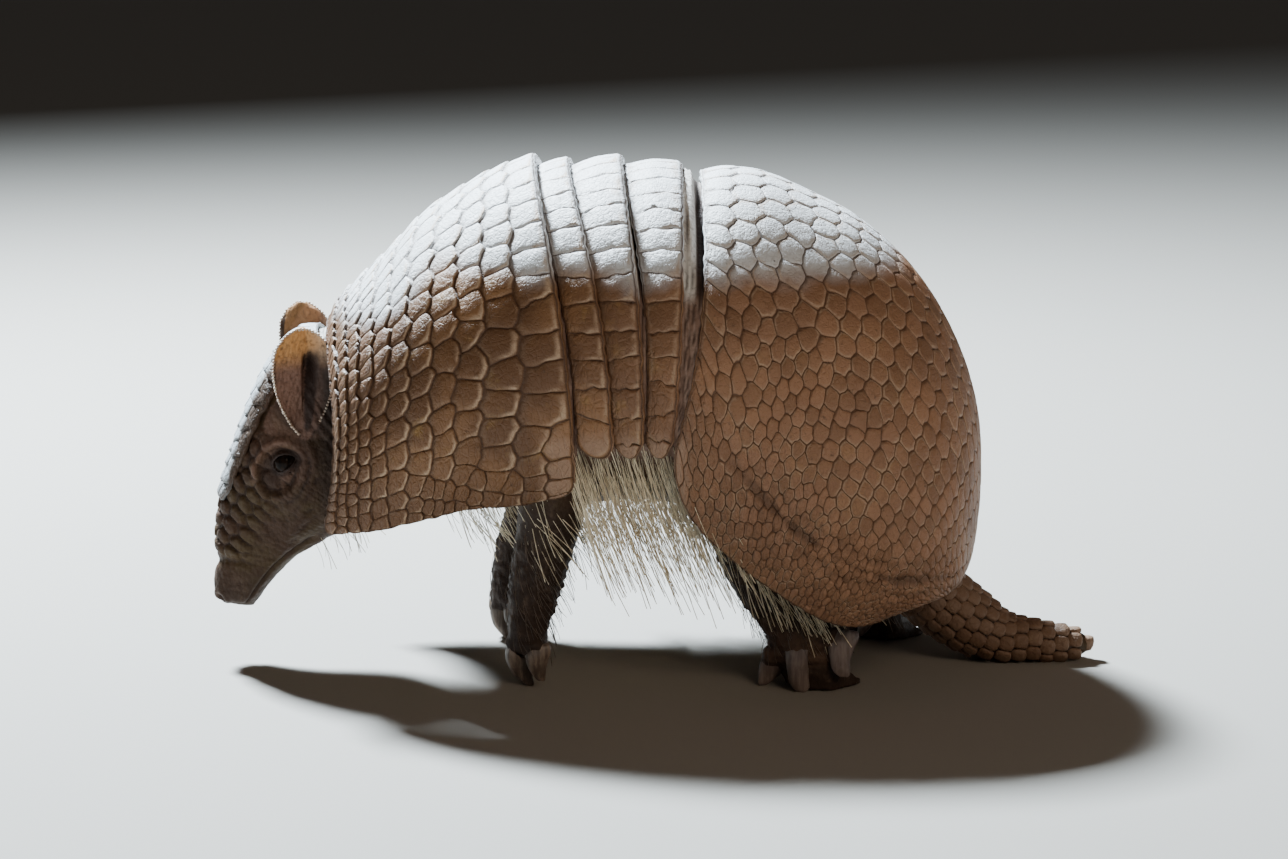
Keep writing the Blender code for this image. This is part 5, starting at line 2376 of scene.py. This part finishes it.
@dataclass(frozen=True)
class ClawHorn(Finish):
    """Horn of claws and nails, streaked from root to tip."""

    name: str = "dark_claw_horn"
    roughness: float = 0.34
    dark: Colour = (0.085, 0.060, 0.046)
    light: Colour = (0.25, 0.185, 0.140)

    def build(self) -> Material:
        """Makes the material.

        Returns:
            The material.
        """
        made, g, place = self.start()
        streaks = g.noise(g.stretch(place, (1.0, 1.0, 0.10)), 0.0011, 4.0, Roughness=0.6)
        clouds = g.noise(place, 0.004, 3.0)
        dirt = g.noise(place, 0.0022, 4.0)
        colour = g.mix(g.rise(streaks, 0.35, 0.68), self.dark, self.light)
        colour = g.mix(g.rise(clouds, 0.55, 0.75, 0.6), colour, self.light)
        colour = g.mix(g.rise(dirt, 0.56, 0.7, 0.5), colour, (0.10, 0.075, 0.055))
        rough = streaks * 0.3 + (self.roughness - 0.1)
        self.end(g, colour, rough, streaks + dirt * 0.6)
        return made


@dataclass
class Claws:
    """Claws of the forefeet and hoof-like nails of the hind feet, one piece for each node."""

    fore_digits: tuple[str, ...] = ("inner", "second", "third", "outer")
    hind_digits: tuple[str, ...] = ("inner", "second", "third", "fourth", "outer")

    def build(self, claw: Material, hoof: Material) -> list[tuple[Piece, str, list[str]]]:
        """Makes every claw with its slot and its node.

        Args:
            claw: finish of the front claws.
            hoof: finish of the hind nails.

        Returns:
            Each claw with its slot and its node.
        """
        made = []
        for word in ("left", "right"):
            for foot, digits, finish, slot in (("forefoot", self.fore_digits, claw, "claw"),
                                               ("hindfoot", self.hind_digits, hoof, "hoof")):
                for digit in digits:
                    node = f"claw_{foot}_{word}_{digit}"
                    made.append((self._nail(node, finish), slot, [node]))
        return made

    def _nail(self, node: str, finish: Material) -> Piece:
        """A smooth nail that fills its node's box.

        Args:
            node: the claw's node.
            finish: its material.

        Returns:
            The nail.
        """
        piece = merged_copy(node + "_horn", [node], gap=0.001)
        smooth = piece.modifiers.new("smooth_horn", "SUBSURF")
        smooth.levels = smooth.render_levels = 2
        settle(piece)
        points = coordinates(piece.data)
        low, high = box_of(node)
        points = low + (points - points.min(0)) * (high - low) / np.ptp(points, axis=0)
        middle = points.mean(0)
        share = (points[:, 2:] - low[2]) / (high[2] - low[2])
        pull = rise(0.70, 1.0, share) * (0.22, 0.15, 0.0)
        if "hind" in node:
            pull -= rise(0.38, 0.0, share) * (0.5, 0.25, 0.0)
        points = points + (middle - points) * pull
        points = np.clip(points, low, high)
        across = ripple(points * (1.0, 1.0, 0.12), 1.1, 61) * 0.07
        points = points + normals_of(piece.data) * across[:, None]
        points[:, 2] = np.maximum(points[:, 2], 0.0)
        move_points(piece.data, points)
        piece.data.materials.clear()
        piece.data.materials.append(finish)
        return piece


@dataclass
class TailScales:
    """Rings of rounded tubercles down the tail, staggered like a cone's."""

    rows: Rows = (
        (64.5, 21.0, 8.8, 10.6), (71.4, 14.6, 8.3, 9.6), (78.6, 9.4, 7.6, 8.2), (85.0, 6.0, 6.1, 7.0),
        (92.0, 4.9, 5.1, 6.0), (99.0, 4.3, 4.3, 5.0), (104.2, 4.0, 3.3, 3.8), (107.3, 4.2, 1.5, 1.7),
    )
    pitch: float = 4.0
    depth_share: float = 0.86
    end_x: float = 107.6
    seed: int = 81
    tip: Triple = (106.5, 0.0, 4.15)
    tip_sizes: Triple = (3.8, 4.2, 3.7)

    def spots(self) -> Spots:
        """Where the tubercles go.

        Returns:
            The tubercles' spots.
        """
        dense = through(self.rows, np.linspace(0, len(self.rows) - 1, 300))
        travel = travelled(dense[:, :2])
        found, rng = [], np.random.default_rng(self.seed)
        for ring, stop in enumerate(np.arange(3.0, travel[-1] - 0.4, self.pitch * self.depth_share)):
            x, z, high, wide = (np.interp(stop, travel, dense[:, k]) for k in range(4))
            ahead = [np.diff(np.interp((stop - 0.6, stop + 0.6), travel, dense[:, k]))[0] for k in range(2)]
            along = unit(np.array([ahead[0], 0.0, ahead[1]]))
            up = np.array([-along[2], 0.0, along[0]])
            around = math.pi * (high + wide)
            count = max(5, round(around / self.pitch))
            for k in range(count):
                turn = 2 * math.pi * (k + 0.5 * (ring % 2)) / count
                spoke = up * high * math.cos(turn) + np.array([0, wide * math.sin(turn), 0])
                out = unit(up * math.cos(turn) / high + np.array([0, math.sin(turn) / wide, 0]))
                spot = np.array([x, 0, z]) + spoke * 0.985
                size = around / count * rng.uniform(0.98, 1.10)
                if spot[2] < 0.25 * size + 0.15 or x + 0.6 * size > self.end_x:
                    continue
                found.append((spot, out, along, (size * 0.97, size * 0.92, size * 0.32)))
        found.append((self.tip, (1.0, 0.0, 0.0), (0.0, 0.0, 1.0), self.tip_sizes))
        return Spots(*np.array(found).transpose(1, 0, 2))


def ear_beads(head: HeadForm, pitch: float = 0.84, seed: int = 82) -> Spots:
    """The beads along both ears' rims.

    Args:
        head: the head's form.
        pitch: millimetres from bead to bead.
        seed: fixes their sizes.

    Returns:
        Where the beads go.
    """
    rims = [EarForm(side, head).rim_points(pitch) for side in (-1, 1)]
    spots, out = (np.vstack(part) for part in zip(*rims))
    size = np.random.default_rng(seed).uniform(0.55, 0.9, len(spots))
    along = np.tile([0.3, 0.0, 1.0], (len(spots), 1))
    return Spots(spots, out, along, rowwise(size, size, size))


@dataclass
class HeadShield:
    """The scuted shield on the forehead."""

    head: HeadForm
    first: float = 4.55
    last: float = 9.75
    wrap: tuple[float, float] = (35.0, 47.0)
    lift: float = 1.65
    thick: float = 1.2
    half: float = 10.4
    scute: float = 4.3
    corner_radius: float = 4.0

    def __post_init__(self) -> None:
        """Measures the shield along the brow."""
        self.places = np.linspace(self.first, self.last, 160)
        self.measure = travelled(self.head.points(self.places, np.zeros(160)))
        self.length = float(self.measure[-1])

    def surface(self, s: Array, t: Array) -> Array:
        """Points on the shield, `s` along the brow and `t` across.

        Args:
            s: millimetres along.
            t: millimetres across.

        Returns:
            Points in millimetres, one a row.
        """
        share = s / self.length
        place = np.interp(s, self.measure, self.places)
        place = place + np.minimum(s, 0) * 0.1 + np.maximum(s - self.length, 0) * 0.1
        degrees = t / self.half * (self.wrap[0] + (self.wrap[1] - self.wrap[0]) * share)
        return self.head.points(place, degrees) + self.head.normals(place, degrees) * self.lift

    def build(self, horn: Material, relief: ScuteRelief) -> Piece:
        """Makes the shield.

        Args:
            horn: the finish of the scutes.
            relief: raises the scutes.

        Returns:
            The finished piece.
        """
        layout = ScuteLayout(self.length, self.half, lambda s, t: self.scute, 33, jitter=0.2)
        plate = ScutePlate("head_shield_scutes", self.surface, layout, self.thick, step=0.6,
                           rings=(0.10, 0.3, 0.6), lean=lambda flat: np.full(len(flat), -0.45), scallop=0.7,
                           shape=Carapace().round_corners(self.length, self.half, self.corner_radius))
        return plate.build(horn, relief)


class CoatPart(Enum):
    """The parts of the sparse coat."""

    FRINGE = "flank_fringe"
    BELLY = "belly_hair"
    BRISTLES = "hip_bristles"
    LEGS = "leg_hair"
    THROAT = "throat_hair"


@dataclass(frozen=True)
class CoatForm:
    """How the hair of one part lies and grows; lengths are in metres."""

    way: Triple
    off_skin: float
    hairs_per_area: float
    length: float
    slimness: float
    bend: float
    straying: float
    length_spread: float = 0.45


@dataclass
class Coat:
    """Sparse coarse hair that grows from the skin where the shell leaves it bare."""

    tree: HairTree
    skin: Piece
    first_seed: int = 90
    least_weight: float = 0.02
    forms: ClassVar[dict[CoatPart, CoatForm]] = {
        CoatPart.FRINGE: CoatForm((0.26, 0.0, -1.0), 0.03, 6.5e5, 0.034, 0.0030, 0.10, 0.13, 0.64),
        CoatPart.BELLY: CoatForm((0.5, 0.0, -0.8), 0.25, 9e4, 0.014, 0.0075, 0.2, 0.35),
        CoatPart.BRISTLES: CoatForm((0.35, 0.0, -0.8), 0.25, 9e5, 0.016, 0.0075, 0.25, 0.25),
        CoatPart.LEGS: CoatForm((0.25, 0.0, -1.0), 0.42, 2.2e5, 0.0065, 0.012, 0.3, 0.25),
        CoatPart.THROAT: CoatForm((0.5, 0.0, -0.7), 0.25, 1.1e5, 0.0085, 0.011, 0.25, 0.4),
    }

    def _weights(self, part: CoatPart, points: Array) -> Array:
        """How thickly hair grows at each point of the skin, from 0 to 1.

        Args:
            part: which part of the coat.
            points: places in millimetres, one a row.

        Returns:
            One number for each point.
        """
        x, y, z = points.T
        side = np.abs(y)
        if part is CoatPart.FRINGE:
            return hill(x, -21, -17, 7, 12) * hill(z, 45, 48, 60, 64) * rise(28, 36, side)
        if part is CoatPart.BELLY:
            return hill(x, -55, -45, 15, 30) * rise(52, 46, z) * (z > 34)
        if part is CoatPart.BRISTLES:
            edge_z = np.interp(x, (4, 10, 20, 32, 43, 55), (58, 44, 34, 25, 19.5, 18.5))
            near = bell(z - edge_z - 1.5, 3.0)
            return near * hill(x, 2, 7, 44, 52) * rise(24, 34, side)
        if part is CoatPart.LEGS:
            legs = (x < 0) | (x > 20)
            return legs * hill(z, 9, 14, 38, 46) * (side > 14) * (x > -50) * (x < 56)
        under = hill(z, 28, 33, 36, 40) * hill(x, -86, -80, -68, -60)
        rim = rise(48, 44, z) * hill(x, -74, -68, -36, -30) * rise(32, 40, side)
        return np.maximum(under, rim)

    def _emitter(self, part: CoatPart) -> Mesh:
        """The faces of the skin where one part of the coat grows.

        Args:
            part: which part of the coat.

        Returns:
            The faces, with `grow` and `lie` kept on them.
        """
        mesh = self.skin.data
        points, normals = coordinates(mesh), normals_of(mesh)
        weights = self._weights(part, points)
        work = bmesh.new()
        work.from_mesh(mesh)
        index = work.verts.layers.int.new("source")
        for vert in work.verts:
            vert[index] = vert.index
        bare = [f for f in work.faces if all(weights[v.index] < self.least_weight for v in f.verts)]
        bmesh.ops.delete(work, geom=bare, context="FACES")
        source = [v[index] for v in work.verts]
        held = bpy.data.meshes.new("emitter_" + part.value)
        work.to_mesh(held)
        work.free()
        store(held, "grow", weights[source])
        form = self.forms[part]
        store(held, "lie", unit(np.array(form.way) + normals[source] * form.off_skin))
        return held

    def build(self, straw: Material, dark: Material) -> list[Piece]:
        """Grows every part of the coat.

        Args:
            straw: finish of the pale hair.
            dark: finish of the dark bristles.

        Returns:
            The hair pieces.
        """
        made = []
        for seed, (part, form) in enumerate(self.forms.items()):
            sizes = {key: size for key, size in vars(form).items() if key in self.tree.sizes}
            finish = dark if part is CoatPart.LEGS else straw
            emitter = self._emitter(part)
            made.append(self.tree.grow(part.value, emitter, finish, self.first_seed + seed, **sizes))
        return made


def main() -> None:
    """Builds the model piece by piece, then the stage."""
    logging.basicConfig(level=logging.INFO, format="%(name)s %(message)s")
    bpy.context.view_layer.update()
    horn = ScuteHorn().build()
    relief = ScuteRelief()
    head = HeadForm()
    for piece, nodes in Carapace().build(horn, relief):
        hand_over(piece, "shell", nodes)
    # A darker copy of the scute horn as painted shade on the head, with a painted highlight along the middle
    # of the brow.
    brow_horn = ScuteHorn("bleached_brow_horn", bleached=(0.46, 0.49, 0.51), bleach_from=0.034,
                          bleach_to=0.050, tan=(0.062, 0.036, 0.022), umber=(0.052, 0.030, 0.018),
                          straw=(0.08, 0.052, 0.03), ridge=(0.15, 0.10, 0.07), crest_fall=0.0,
                          bleach_half=0.0092).build()
    hand_over(HeadShield(head).build(brow_horn, relief), "shell", ["head_shield"])
    flesh = Flesh(head)
    skin = flesh.build(Hide().build())
    wet = CloudedFinish("wet_eye", 0.06, gloss=0.05, depth=0.000001).build()
    for piece, nodes in Eyeballs().build(head, wet):
        hand_over(piece, "eye", nodes)
    claw = ClawHorn().build()
    hoof = ClawHorn("greyish_hoof_horn", 0.4, (0.108, 0.077, 0.065), (0.205, 0.156, 0.138)).build()
    for piece, slot, nodes in Claws().build(claw, hoof):
        hand_over(piece, slot, nodes)
    scales = PlacedScales()
    tail_horn = ScuteHorn("tail_scute_horn", tan=(0.215, 0.130, 0.078), pink=(0.235, 0.150, 0.102),
                          straw=(0.24, 0.155, 0.08)).build()
    hand_over(scales.place("tail_scales", TailScales().spots(), tail_horn, rear_lift=0.20), "shell", [])
    beads = CloudedFinish("pale_ear_bead", 0.5, (0.60, 0.50, 0.40), (0.38, 0.25, 0.18), depth=0.00008).build()
    hand_over(scales.place("ear_beads", ear_beads(head), beads, rear_lift=0.0, squareness=2.0), "ear", [])
    hair = {"size": 0.0012, "grain": 0.15, "depth": 0.00002}
    # Straw hair whose pale end is partly painted backlight.
    straw = CloudedFinish("straw_hair", 0.45, (0.62, 0.49, 0.32), (0.97, 0.85, 0.62), **hair).build()
    dark = CloudedFinish("dark_bristle", 0.4, (0.05, 0.035, 0.028), (0.16, 0.11, 0.075), **hair).build()
    for piece in Coat(HairTree(), skin).build(straw, dark):
        hand_over(piece, "hair", [])
    hand_over(skin, "skin", list(flesh.nodes))
    Stage().build()


if __name__ == "__main__":
    main()
